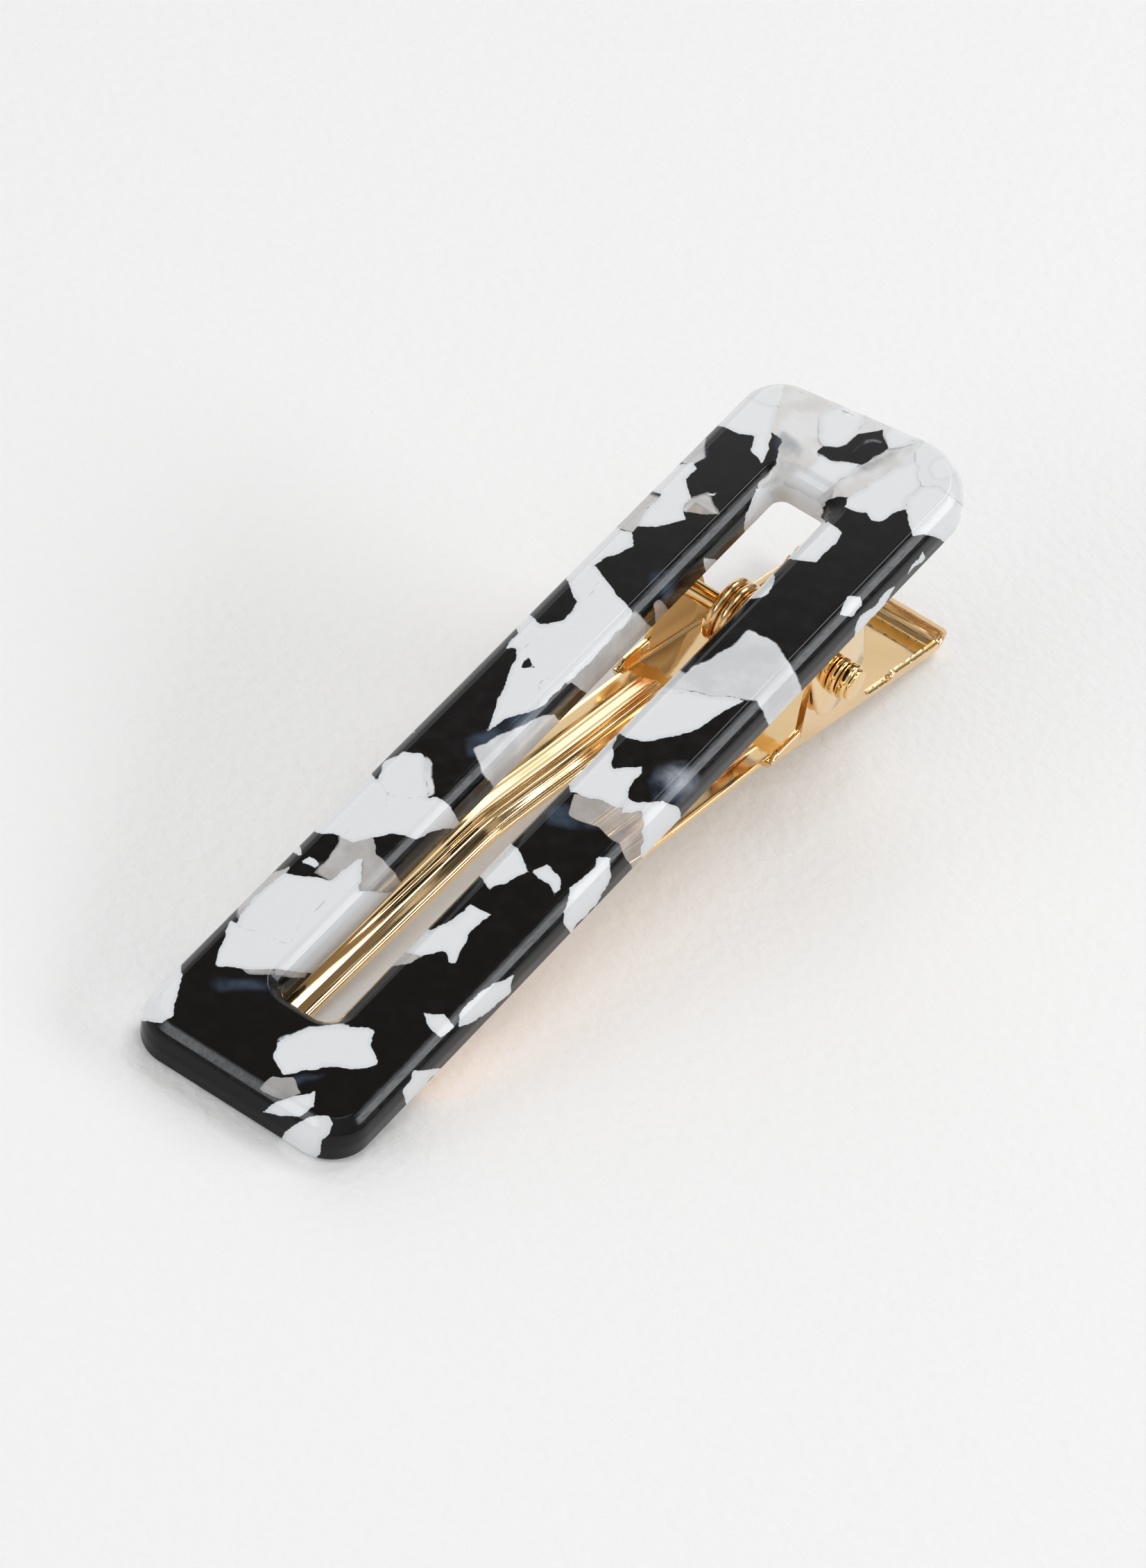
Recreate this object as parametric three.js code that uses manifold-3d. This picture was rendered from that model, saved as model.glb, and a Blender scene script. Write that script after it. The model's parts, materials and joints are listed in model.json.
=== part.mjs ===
// Alligator-clip barrette: a slotted cellulose-acetate frame with a sprung metal jaw under it.
// Millimetres. The object lies as it rests on a table: +Z up, +X towards the thumb lever.
//
// Every piece is drawn in the frame's own axes first: x along the frame from its front edge,
// y across it, z up from its flat underside. One group then tips the whole clip back until the
// front edge and the heel of the lever both touch the table.

import * as THREE from 'three';
import { mergeVertices } from 'three/addons/utils/BufferGeometryUtils.js';
import Module from 'manifold-3d';

const wasm = await Module();
wasm.setup();

// Acetate frame
const LENGTH = 80;
const WIDTH = 18.4;
const THICKNESS = 3.3;
const CHAMFER = 0.7;
const REAR_SKEW = 3; // the right side is this much longer than the left
const FRONT_RADIUS = 3.2;
const REAR_LEFT_RADIUS = 3.6;
const REAR_RIGHT_RADIUS = 5;
const SLOT = { front: 8.6, rear: 70.6, right: -1.95, left: 2.45, radius: 1 };
const RELIEF = { depth: 1.2, y: 0.7 }; // stepped relief milled in the underside of the rear bar

// Clip
const CLIP_Y = -0.9; // middle of the clip across the frame
const PIN = { x: 62.9, z: -4.3, radius: 0.75 };
const SHEET = 0.5;
const GAP = 0.3;
const JAW_HALF_WIDTH = 7;
const EAR_INNER = JAW_HALF_WIDTH + GAP + 0.1;
const EAR_OUTER = EAR_INNER + SHEET;
const FOOT = { front: 58.4, rear: 65.8, width: 3.4, pocketDepth: 0.8 };
const EAR_FRONT = { x: 61.6, z: -6.9 }; // where the ear's sloping front edge meets its round end
const EAR_ROUND = { x: 64.2, z: -6.1, radius: 3.1, startDegrees: 197, endDegrees: 355 };
const PEG = { radius: 0.55, height: 1.5, fromFootEnd: 1.4 };
const WASHER = { inner: 1.05, outer: 1.45, thickness: 0.45 };
const HEAD = { radius: 1.45, thickness: 0.5, bossRadius: 1.15, bossThickness: 0.35 };

// Lower jaw, measured along the underside of its sheet
const HEEL = { x: 81.9, z: -18.9 };
const LIP_TOP = { x: 82.5, z: -17.1 };
const BOX_FRONT = { x: 56.5, z: -9.7 };
const BEND_START = { x: 36.5, z: -3.5 };
const BEND_END = { x: 31, z: -2.45 };
const TIP = { x: 4.5, z: -0.85 };
const PRONG_INNER = 1.85; // half the gap between the two prongs
const CROTCH_X = 46;
const PRONG_HALF_WIDTH = { tip: 3.9, nearTip: 4.5, root: 6.4 };
const WALL = {
  rimHeight: 1.5, // along the lever's rear
  lowRimHeight: 1.1, // between the stepped rim and the cheek
  rimStep: [73.4, 74],
  rimFront: 70.2,
  cheekRadius: 2.5, // round the pin
  cheekRear: { x: 66.3, dropBelowPin: 1.6 },
  cheekFrontZ: -9,
  frontRim: { x: 57.5, z: -8.65 },
};

// Torsion spring
const WIRE = 0.8;
const COIL = { meanRadius: 2.25, turns: 5, halfLength: 2.2, startDegrees: 100, legTurnDegrees: 125 };
const UPPER_LEG = [
  { x: 7.6, z: 3.35 },
  { x: 3.6, z: 2.95 },
]; // from the pin, end first
const LOWER_LEG = 9.3;

const ACETATE = new THREE.MeshStandardMaterial({ color: 0x242424, roughness: 0.15, metalness: 0 });
const GOLD = new THREE.MeshStandardMaterial({ color: 0xe0b877, roughness: 0.22, metalness: 1 });
const SPRING_GOLD = new THREE.MeshStandardMaterial({ color: 0xc99a5c, roughness: 0.25, metalness: 1 });

// ---- helpers -------------------------------------------------------------------------------

function toSolid(geometry) {
  const bare = geometry.clone();
  bare.deleteAttribute('normal');
  bare.deleteAttribute('uv');
  const merged = mergeVertices(bare, 1e-4);
  const vertProperties = new Float32Array(merged.attributes.position.array);
  const triVerts = new Uint32Array(merged.index.array);
  return new wasm.Manifold(new wasm.Mesh({ numProp: 3, vertProperties, triVerts }));
}

function toGeometry(solid) {
  const mesh = solid.getMesh();
  const geometry = new THREE.BufferGeometry();
  geometry.setAttribute('position', new THREE.BufferAttribute(mesh.vertProperties, 3));
  geometry.setIndex(new THREE.BufferAttribute(mesh.triVerts, 1));
  geometry.computeVertexNormals();
  return geometry;
}

function block(x0, x1, y0, y1, z0, z1) {
  const box = new THREE.BoxGeometry(x1 - x0, y1 - y0, z1 - z0);
  box.translate((x0 + x1) / 2, (y0 + y1) / 2, (z0 + z1) / 2);
  return toSolid(box);
}

// A cylinder, or with boreRadius a tube, lying across the clip from y0 to y1 on the hinge pin.
function barrel(radius, y0, y1, boreRadius = 0) {
  const profile = [
    new THREE.Vector2(boreRadius, y0),
    new THREE.Vector2(radius, y0),
    new THREE.Vector2(radius, y1),
    new THREE.Vector2(boreRadius, y1),
  ];
  if (boreRadius > 0) profile.push(profile[0].clone());
  const lathe = new THREE.LatheGeometry(profile, 28);
  lathe.translate(PIN.x, 0, PIN.z);
  return toSolid(lathe);
}

// Plan outline (x, y) extruded upwards from z0 to z1.
function planPrism(shape, z0, z1) {
  const solid = new THREE.ExtrudeGeometry(shape, { depth: z1 - z0, bevelEnabled: false, curveSegments: 6 });
  solid.translate(0, 0, z0);
  return toSolid(solid);
}

// Side outline (x, z) extruded across the clip from y0 to y1.
function sidePrism(shape, y0, y1) {
  const solid = new THREE.ExtrudeGeometry(shape, { depth: y1 - y0, bevelEnabled: false, curveSegments: 10 });
  solid.rotateX(Math.PI / 2);
  solid.translate(0, y1, 0);
  return toSolid(solid);
}

// Closed outline through corner points, each corner rounded by its own radius.
function roundedOutline(corners, path = new THREE.Shape()) {
  const count = corners.length;
  corners.forEach((corner, i) => {
    const here = new THREE.Vector2(corner.x, corner.y);
    const before = corners[(i + count - 1) % count];
    const after = corners[(i + 1) % count];
    const back = new THREE.Vector2(before.x, before.y).sub(here).normalize();
    const ahead = new THREE.Vector2(after.x, after.y).sub(here).normalize();
    const enter = here.clone().addScaledVector(back, corner.radius);
    const leave = here.clone().addScaledVector(ahead, corner.radius);
    if (i === 0) path.moveTo(enter.x, enter.y);
    else path.lineTo(enter.x, enter.y);
    path.quadraticCurveTo(here.x, here.y, leave.x, leave.y);
  });
  path.closePath();
  return path;
}

// Outline of a bent sheet: the given underside line and the same line raised by the thickness.
function sheetOutline(line, thickness) {
  const raised = line.map((point, i) => {
    const before = line[Math.max(i - 1, 0)];
    const after = line[Math.min(i + 1, line.length - 1)];
    const inDirection = new THREE.Vector2(point.x - before.x, point.z - before.z);
    const outDirection = new THREE.Vector2(after.x - point.x, after.z - point.z);
    if (i === 0) inDirection.copy(outDirection);
    if (i === line.length - 1) outDirection.copy(inDirection);
    inDirection.normalize();
    outDirection.normalize();
    const inNormal = new THREE.Vector2(inDirection.y, -inDirection.x);
    const miter = inNormal.clone().add(new THREE.Vector2(outDirection.y, -outDirection.x)).normalize();
    const reach = thickness / miter.dot(inNormal);
    return new THREE.Vector2(point.x + miter.x * reach, point.z + miter.y * reach);
  });
  const underside = line.map((point) => new THREE.Vector2(point.x, point.z));
  return new THREE.Shape([...underside, ...raised.reverse()]);
}

// Height of the jaw sheet's underside at x.
function jawUnderside(x) {
  const line = [TIP, BEND_END, BEND_START, BOX_FRONT, HEEL];
  const i = Math.max(1, line.findIndex((point) => point.x >= x));
  const t = (x - line[i - 1].x) / (line[i].x - line[i - 1].x);
  return line[i - 1].z + t * (line[i].z - line[i - 1].z);
}

// ---- acetate frame -------------------------------------------------------------------------

function acetateFrame() {
  const half = WIDTH / 2;
  const outline = roundedOutline([
    { x: 0, y: -half, radius: FRONT_RADIUS },
    { x: LENGTH + REAR_SKEW / 2, y: -half, radius: REAR_RIGHT_RADIUS },
    { x: LENGTH - REAR_SKEW / 2, y: half, radius: REAR_LEFT_RADIUS },
    { x: 0, y: half, radius: FRONT_RADIUS },
  ]);
  outline.holes.push(
    roundedOutline(
      [
        { x: SLOT.front, y: SLOT.right, radius: SLOT.radius },
        { x: SLOT.rear, y: SLOT.right, radius: SLOT.radius },
        { x: SLOT.rear, y: SLOT.left, radius: SLOT.radius },
        { x: SLOT.front, y: SLOT.left, radius: SLOT.radius },
      ],
      new THREE.Path(),
    ),
  );
  // Both ends get the chamfer; the spare height below the underside is then cut away.
  const spare = 2;
  const plate = new THREE.ExtrudeGeometry(outline, {
    depth: THICKNESS + spare - 2 * CHAMFER,
    bevelThickness: CHAMFER,
    bevelSize: CHAMFER,
    bevelOffset: -CHAMFER,
    bevelSegments: 1,
    curveSegments: 6,
  });
  plate.translate(0, 0, CHAMFER - spare);
  let solid = toSolid(plate).subtract(block(-5, LENGTH + 5, -WIDTH, WIDTH, -spare - 1, 0));
  for (const side of [-1, 1]) {
    const foot = footExtents(side);
    solid = solid.subtract(
      block(foot.x0 - GAP, foot.x1 + GAP, foot.y0 - GAP, foot.y1 + GAP, -1, FOOT.pocketDepth),
    );
    for (const peg of pegCentres(side)) {
      const hole = new THREE.CylinderGeometry(PEG.radius + GAP, PEG.radius + GAP, PEG.height + 1, 16);
      hole.rotateX(Math.PI / 2);
      hole.translate(peg.x, peg.y, (PEG.height + 1) / 2);
      solid = solid.subtract(toSolid(hole));
    }
  }
  for (const [x0, x1, halfWidth] of reliefSteps()) {
    solid = solid.subtract(block(x0, x1, RELIEF.y - halfWidth, RELIEF.y + halfWidth, -1, RELIEF.depth));
  }
  return toGeometry(solid);
}

// Steps of the milled relief, from the slot towards the rear edge: x0, x1 and half width.
function reliefSteps() {
  const start = SLOT.rear - 1;
  return [
    [start, start + 3.4, 1.7],
    [start + 3, start + 7.6, 0.6],
    [start + 6.8, start + 7.8, 1.4],
  ];
}

// ---- ear brackets --------------------------------------------------------------------------

function footExtents(side) {
  const outer = CLIP_Y + side * EAR_OUTER;
  const inner = outer - side * FOOT.width;
  return { x0: FOOT.front, x1: FOOT.rear, y0: Math.min(inner, outer), y1: Math.max(inner, outer) };
}

function pegCentres(side) {
  const foot = footExtents(side);
  const y = (foot.y0 + foot.y1) / 2;
  return [{ x: foot.x0 + PEG.fromFootEnd, y }, { x: foot.x1 - PEG.fromFootEnd, y }];
}

// An L of sheet: the foot lies in its pocket under the frame and the ear hangs from it.
function earBracket(side) {
  const foot = footExtents(side);
  const footTop = FOOT.pocketDepth - GAP;
  const startAngle = THREE.MathUtils.degToRad(EAR_ROUND.startDegrees);
  const endAngle = THREE.MathUtils.degToRad(EAR_ROUND.endDegrees);
  const ear = new THREE.Shape();
  ear.moveTo(foot.x0, footTop);
  ear.lineTo(EAR_FRONT.x, EAR_FRONT.z);
  ear.absarc(EAR_ROUND.x, EAR_ROUND.z, EAR_ROUND.radius, startAngle, endAngle, false);
  ear.lineTo(foot.x1, footTop);
  ear.closePath();
  const y0 = side < 0 ? foot.y0 : foot.y1 - SHEET;
  let solid = sidePrism(ear, y0, y0 + SHEET);
  solid = solid.add(block(foot.x0, foot.x1, foot.y0, foot.y1, footTop - SHEET, footTop));
  for (const peg of pegCentres(side)) {
    const pin = new THREE.CylinderGeometry(PEG.radius, PEG.radius, PEG.height, 16);
    pin.rotateX(Math.PI / 2);
    pin.translate(peg.x, peg.y, footTop - 0.1 + PEG.height / 2);
    solid = solid.add(toSolid(pin));
  }
  solid = solid.subtract(barrel(PIN.radius + GAP, y0 - 1, y0 + SHEET + 1));
  return toGeometry(solid);
}

// ---- hinge pin and its washers -------------------------------------------------------------

function washerSpan(side) {
  const near = CLIP_Y + side * (EAR_OUTER + GAP);
  const far = near + side * WASHER.thickness;
  return [Math.min(near, far), Math.max(near, far)];
}

function pinWasher(side) {
  const [y0, y1] = washerSpan(side);
  return toGeometry(barrel(WASHER.outer, y0, y1, WASHER.inner));
}

function hingePin() {
  const headStart = EAR_OUTER + GAP + WASHER.thickness + GAP;
  const headEnd = headStart + HEAD.thickness;
  const right = CLIP_Y - headEnd;
  const left = CLIP_Y + headEnd;
  const solid = barrel(PIN.radius, right, left)
    .add(barrel(HEAD.radius, right, right + HEAD.thickness))
    .add(barrel(HEAD.bossRadius, right - HEAD.bossThickness, right + 0.1))
    .add(barrel(HEAD.radius, left - HEAD.thickness, left));
  return toGeometry(solid);
}

// ---- torsion spring ------------------------------------------------------------------------

class SpringPath extends THREE.Curve {
  constructor() {
    super();
    const points = [];
    const steps = COIL.turns * 16;
    const radius = COIL.meanRadius;
    // The right end runs back and up to the frame, the left end back and down to the lever.
    const startAngle = THREE.MathUtils.degToRad(COIL.startDegrees);
    const endAngle = startAngle + THREE.MathUtils.degToRad(COIL.legTurnDegrees + 360 * COIL.turns);
    const onCoil = (angle, y) =>
      new THREE.Vector3(PIN.x + radius * Math.cos(angle), y, PIN.z + radius * Math.sin(angle));
    const firstY = CLIP_Y - COIL.halfLength;
    for (const { x, z } of UPPER_LEG) points.push(new THREE.Vector3(PIN.x + x, firstY, PIN.z + z));
    for (let i = 0; i <= steps; i += 1) {
      const t = i / steps;
      points.push(onCoil(startAngle + t * (endAngle - startAngle), firstY + 2 * COIL.halfLength * t));
    }
    const last = points[points.length - 1];
    const backDown = new THREE.Vector3(-Math.sin(endAngle), 0, Math.cos(endAngle));
    points.push(last.clone().addScaledVector(backDown, LOWER_LEG / 2));
    points.push(last.clone().addScaledVector(backDown, LOWER_LEG));
    this.line = new THREE.CatmullRomCurve3(points);
  }

  getPoint(t, target = new THREE.Vector3()) {
    return this.line.getPoint(t, target);
  }
}

function torsionSpring() {
  const section = new THREE.Shape();
  section.absarc(0, 0, WIRE / 2, 0, 2 * Math.PI, false);
  return new THREE.ExtrudeGeometry(section, {
    steps: COIL.turns * 16 + 12,
    curveSegments: 4,
    bevelEnabled: false,
    extrudePath: new SpringPath(),
  });
}

// ---- lower jaw -----------------------------------------------------------------------------

// Plan outline of the jaw, drawn in (until the hole in its front end) by the given margin.
function jawPlan(margin) {
  const side = [
    [HEEL.x + 2, JAW_HALF_WIDTH],
    [61, JAW_HALF_WIDTH],
    [57, PRONG_HALF_WIDTH.root],
    [40, PRONG_HALF_WIDTH.root],
    [TIP.x + 2, PRONG_HALF_WIDTH.nearTip],
    [TIP.x, PRONG_HALF_WIDTH.tip],
    [TIP.x, 2.5],
    [TIP.x + 1, PRONG_INNER],
    [CROTCH_X, PRONG_INNER],
    [CROTCH_X + 1.4, PRONG_INNER - 1],
  ];
  const inset = margin > 0 ? side.slice(0, 4) : side;
  const left = inset.map(([x, y]) => new THREE.Vector2(x, CLIP_Y + y - margin));
  const right = inset.map(([x, y]) => new THREE.Vector2(x, CLIP_Y - y + margin)).reverse();
  return new THREE.Shape([...left, ...right]);
}

// Side outline of the upstanding walls: low rims on the lever, tall cheeks round the pin.
function wallOutline() {
  const walls = new THREE.Shape();
  const [stepFront, stepRear] = WALL.rimStep;
  const lowRim = (x) => walls.lineTo(x, jawUnderside(x) + WALL.lowRimHeight);
  const inset = 0.1; // keeps the walls' lower edge inside the floor sheet
  walls.moveTo(HEEL.x, HEEL.z + inset);
  walls.lineTo(LIP_TOP.x - inset, LIP_TOP.z);
  walls.lineTo(stepRear, jawUnderside(stepRear) + WALL.rimHeight);
  lowRim(stepFront);
  lowRim(WALL.rimFront);
  walls.lineTo(WALL.rimFront - 0.9, jawUnderside(WALL.rimFront - 0.9) + WALL.rimHeight + SHEET);
  walls.lineTo(WALL.cheekRear.x, PIN.z - WALL.cheekRear.dropBelowPin);
  walls.absarc(PIN.x, PIN.z, WALL.cheekRadius, THREE.MathUtils.degToRad(15), Math.PI, false);
  walls.lineTo(PIN.x - WALL.cheekRadius, WALL.cheekFrontZ);
  walls.lineTo(WALL.frontRim.x, WALL.frontRim.z);
  walls.lineTo(BOX_FRONT.x, jawUnderside(BOX_FRONT.x) + SHEET / 2);
  walls.lineTo(BOX_FRONT.x + SHEET, jawUnderside(BOX_FRONT.x + SHEET) + inset);
  walls.closePath();
  return walls;
}

function lowerJaw() {
  const reach = JAW_HALF_WIDTH + 1;
  const floor = sheetOutline([LIP_TOP, HEEL, BOX_FRONT, BEND_START, BEND_END, TIP], SHEET);
  const sheet = sidePrism(floor, CLIP_Y - reach, CLIP_Y + reach);
  const hollow = planPrism(jawPlan(SHEET), -25, 5);
  const walls = sidePrism(wallOutline(), CLIP_Y - reach, CLIP_Y + reach).subtract(hollow);
  const bore = barrel(PIN.radius + GAP, CLIP_Y - reach, CLIP_Y + reach);
  return toGeometry(sheet.add(walls).intersect(planPrism(jawPlan(0), -25, 5)).subtract(bore));
}

// ---- assembly ------------------------------------------------------------------------------

function named(name, geometry, material) {
  const mesh = new THREE.Mesh(geometry, material);
  mesh.name = name;
  return mesh;
}

const clip = new THREE.Group();
clip.add(named('acetate_frame', acetateFrame(), ACETATE));
clip.add(named('right_ear_bracket', earBracket(-1), GOLD));
clip.add(named('left_ear_bracket', earBracket(1), GOLD));
clip.add(named('hinge_pin', hingePin(), GOLD));
clip.add(named('right_pin_washer', pinWasher(-1), GOLD));
clip.add(named('left_pin_washer', pinWasher(1), GOLD));
clip.add(named('torsion_spring', torsionSpring(), SPRING_GOLD));
clip.add(named('lower_jaw', lowerJaw(), GOLD));

// Tip the clip back until the lever's heel is level with the front edge, then put the origin
// under the middle of its box.
clip.rotation.y = -Math.atan2(-HEEL.z, HEEL.x);
clip.updateMatrixWorld(true);
const bounds = new THREE.Box3().setFromObject(clip, true);
const group = new THREE.Group();
group.add(clip);
clip.position.set(-(bounds.min.x + bounds.max.x) / 2, -(bounds.min.y + bounds.max.y) / 2, -bounds.min.z);

export default group;
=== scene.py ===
"""A slotted acetate hair barrette over a sprung, gold-plated jaw.

Every piece is drawn in the clip's own axes, in millimetres: u runs along the frame from its front
edge, v across it towards its left side, and w up from its flat underside. CLIP_TO_ROW turns that
into the row frame in metres. It is worked out from the hinge joint and the frame's top face.
"""
import json
import math

import bmesh
import bpy
import numpy as np
from mathutils import Matrix, Vector, noise
from mathutils.geometry import delaunay_2d_cdt


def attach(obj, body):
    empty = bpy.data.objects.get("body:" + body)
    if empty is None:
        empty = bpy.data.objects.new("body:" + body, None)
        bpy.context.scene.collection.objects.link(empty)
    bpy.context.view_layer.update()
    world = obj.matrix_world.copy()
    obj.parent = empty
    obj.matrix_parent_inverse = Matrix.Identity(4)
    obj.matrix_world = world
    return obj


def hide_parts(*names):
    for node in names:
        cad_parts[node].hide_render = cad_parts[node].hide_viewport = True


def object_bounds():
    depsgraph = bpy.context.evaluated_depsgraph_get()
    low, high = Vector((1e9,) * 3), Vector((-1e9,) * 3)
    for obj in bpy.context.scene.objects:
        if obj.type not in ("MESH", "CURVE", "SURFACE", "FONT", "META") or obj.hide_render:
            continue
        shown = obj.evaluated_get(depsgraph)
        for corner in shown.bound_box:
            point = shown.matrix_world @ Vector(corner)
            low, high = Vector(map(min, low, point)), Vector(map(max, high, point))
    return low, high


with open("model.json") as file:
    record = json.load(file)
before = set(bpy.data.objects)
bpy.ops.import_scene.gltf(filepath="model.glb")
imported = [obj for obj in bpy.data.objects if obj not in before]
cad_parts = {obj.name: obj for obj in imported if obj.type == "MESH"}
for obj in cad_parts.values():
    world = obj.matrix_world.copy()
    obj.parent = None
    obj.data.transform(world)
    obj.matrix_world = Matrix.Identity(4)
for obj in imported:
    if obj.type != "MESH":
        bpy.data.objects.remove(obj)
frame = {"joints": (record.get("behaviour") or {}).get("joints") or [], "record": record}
cad_low, cad_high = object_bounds()

# ---- sizes, in millimetres in the clip's axes ----

LENGTH, WIDTH, THICKNESS = 80.0, 18.4, 3.3
REAR_SKEW = 3.0
CHAMFER = 1.15
CLIP_V = -0.9
PIN_U, PIN_W, PIN_RADIUS = 62.9, -4.3, 0.75
SHEET = 0.5
SHEET_SHARP = 50
JAW_HALF = 7.0
EAR_INNER, EAR_OUTER = 7.08, 7.46
HEEL = (81.5, -18.76)
LIP_TOP = (82.1, -17.1)
BOX_FRONT = (56.5, -9.7)
WIRE_RADIUS = 0.4
COIL_RADIUS, COIL_TURNS, COIL_HALF = 2.25, 5, 2.2


def clip_to_row():
    """The matrix from the clip's axes in millimetres to the row frame in metres."""
    normal = next(m for m in frame["record"]["mounts"] if m["name"] == "decoration_face")["axis"]
    tilt = math.atan2(-normal[0], normal[2])
    pin = Vector(frame["joints"][0]["pos_m"])
    return (
        Matrix.Translation(pin)
        @ Matrix.Rotation(-tilt, 4, "Y")
        @ Matrix.Scale(0.001, 4)
        @ Matrix.Translation((-PIN_U, -CLIP_V, -PIN_W))
    )


CLIP_TO_ROW = clip_to_row()


# ---- mesh helpers ----

def add_piece(name, parts, material, body, replaces=(), attributes=None, sharp_degrees=None):
    """A shown mesh from (points, faces) parts given in clip millimetres."""
    points, faces = [], []
    for part_points, part_faces in parts:
        start = len(points)
        points.extend(tuple(p) for p in part_points)
        faces.extend(tuple(i + start for i in f) for f in part_faces)
    mesh = bpy.data.meshes.new(name)
    mesh.from_pydata(points, [], faces)
    mesh.transform(CLIP_TO_ROW)
    mesh.validate()
    mesh.shade_smooth()
    mesh.materials.append(material)
    for key, values in (attributes or {}).items():
        mesh.attributes.new(key, "FLOAT", "POINT").data.foreach_set("value", values.astype(np.float32))
    piece = bpy.data.objects.new(name, mesh)
    bpy.context.scene.collection.objects.link(piece)
    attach(piece, body)
    if replaces:
        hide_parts(*replaces)
    if sharp_degrees:
        piece.data.set_sharp_from_angle(angle=math.radians(sharp_degrees))
    return piece


def rounded_line(points, radii, step):
    """An open line through the points, each inner corner rounded by an arc, sampled about every step."""
    points = [np.array(p, float) for p in points]
    out = [points[0]]
    for i in range(1, len(points) - 1):
        before, here, after = points[i - 1], points[i], points[i + 1]
        back = unit(before - here)
        ahead = unit(after - here)
        half = math.acos(np.clip(back @ ahead, -1, 1)) / 2
        reach = radii[i - 1] / math.tan(half)
        centre = here + unit(back + ahead) * radii[i - 1] / math.sin(half)
        first, last = here + back * reach, here + ahead * reach
        out.extend(between(out[-1], first, step)[1:])
        turn = math.pi - 2 * half
        count = max(3, math.ceil(turn / math.radians(14)))
        a, b = first - centre, last - centre
        for k in range(1, count + 1):
            t = k / count
            mixed = (math.sin((1 - t) * turn) * a + math.sin(t * turn) * b) / math.sin(turn)
            out.append(centre + mixed)
    out.extend(between(out[-1], points[-1], step)[1:])
    return np.array(out)


def unit(vector):
    return vector / np.linalg.norm(vector)


def between(a, b, step):
    """Points from a to b, both included, about a step apart."""
    a, b = np.array(a, float), np.array(b, float)
    count = max(1, round(float(np.linalg.norm(b - a)) / step))
    return [a + (b - a) * k / count for k in range(count + 1)]


def closed_loop(corners, step):
    """Points and outward normals round a closed anticlockwise outline of (x, y, radius) corners."""
    centres, arcs = [], []
    count = len(corners)
    for i, (x, y, radius) in enumerate(corners):
        here = np.array((x, y), float)
        before = np.array(corners[i - 1][:2], float)
        after = np.array(corners[(i + 1) % count][:2], float)
        ahead_in = unit(here - before)
        ahead_out = unit(after - here)
        start = math.atan2(-ahead_in[0], ahead_in[1])
        turn = math.acos(np.clip(ahead_in @ ahead_out, -1, 1))
        inward = unit(ahead_out - ahead_in)
        centres.append(here + inward * radius / math.cos(turn / 2))
        arcs.append((start, turn, radius))
    points, normals = [], []
    for i, (centre, (start, turn, radius)) in enumerate(zip(centres, arcs)):
        segments = max(6, round(turn * radius / step))
        for k in range(segments + 1):
            angle = start + turn * k / segments
            normals.append((math.cos(angle), math.sin(angle)))
            points.append(centre + radius * np.array(normals[-1]))
        next_start, _, next_radius = arcs[(i + 1) % count]
        facing = np.array((math.cos(next_start), math.sin(next_start)))
        leg = between(points[-1], centres[(i + 1) % count] + next_radius * facing, step)[1:-1]
        points.extend(leg)
        normals.extend([tuple(facing)] * len(leg))
    return np.array(points), np.array(normals)


def loft(rings, cap_ends=False):
    """Faces between successive closed rings of points, each ring with the same number of points."""
    count = len(rings[0])
    points = np.concatenate([np.asarray(r, float) for r in rings])
    faces = []
    for j in range(len(rings) - 1):
        for i in range(count):
            a, b = j * count + i, j * count + (i + 1) % count
            faces.append((a, b, b + count, a + count))
    if cap_ends:
        faces.append(tuple(reversed(range(count))))
        faces.append(tuple(range((len(rings) - 1) * count, len(rings) * count)))
    return points, faces


def flipped(part):
    """The part with its faces turned over."""
    points, faces = part
    return points, [tuple(reversed(f)) for f in faces]


def tube(path, radius, segments=16):
    """A round wire with rounded ends along a path."""
    angles = [2 * math.pi * k / segments for k in range(segments)]
    path = np.array(path, float)
    ahead = np.gradient(path, axis=0)
    ahead /= np.linalg.norm(ahead, axis=1)[:, None]
    side = np.cross(ahead[0], (0.0, 1.0, 0.0))
    rings = []
    for point, direction in zip(path, ahead):
        side = unit(side - direction * (side @ direction))
        other = np.cross(direction, side)
        rings.append([point + radius * (math.cos(a) * side + math.sin(a) * other) for a in angles])
    ends = []
    for ring, centre, outward in ((rings[0], path[0], -ahead[0]), (rings[-1], path[-1], ahead[-1])):
        dome = []
        for share in (0.45, 0.8, 0.97):
            lift = radius * math.sin(math.acos(1 - share)) * 0.6
            dome.append([centre + (p - centre) * (1 - share ** 2) + outward * lift for p in ring])
        ends.append(dome)
    return loft(list(reversed(ends[0])) + rings + ends[1], cap_ends=True)


# ---- acetate pattern ----
# The chips run slantwise through the sheet, so a point's place in the pattern is its (u, v) moved by
# its depth below the top face. Each outline is drawn on the top face, in clip millimetres.

CHIP_SLANT = (-0.76, -0.395)
# How far the outlines wander, and the seed their waviness starts from.
OUTLINE_WANDER, WANDER_SEED = 0.22, 1

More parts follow.
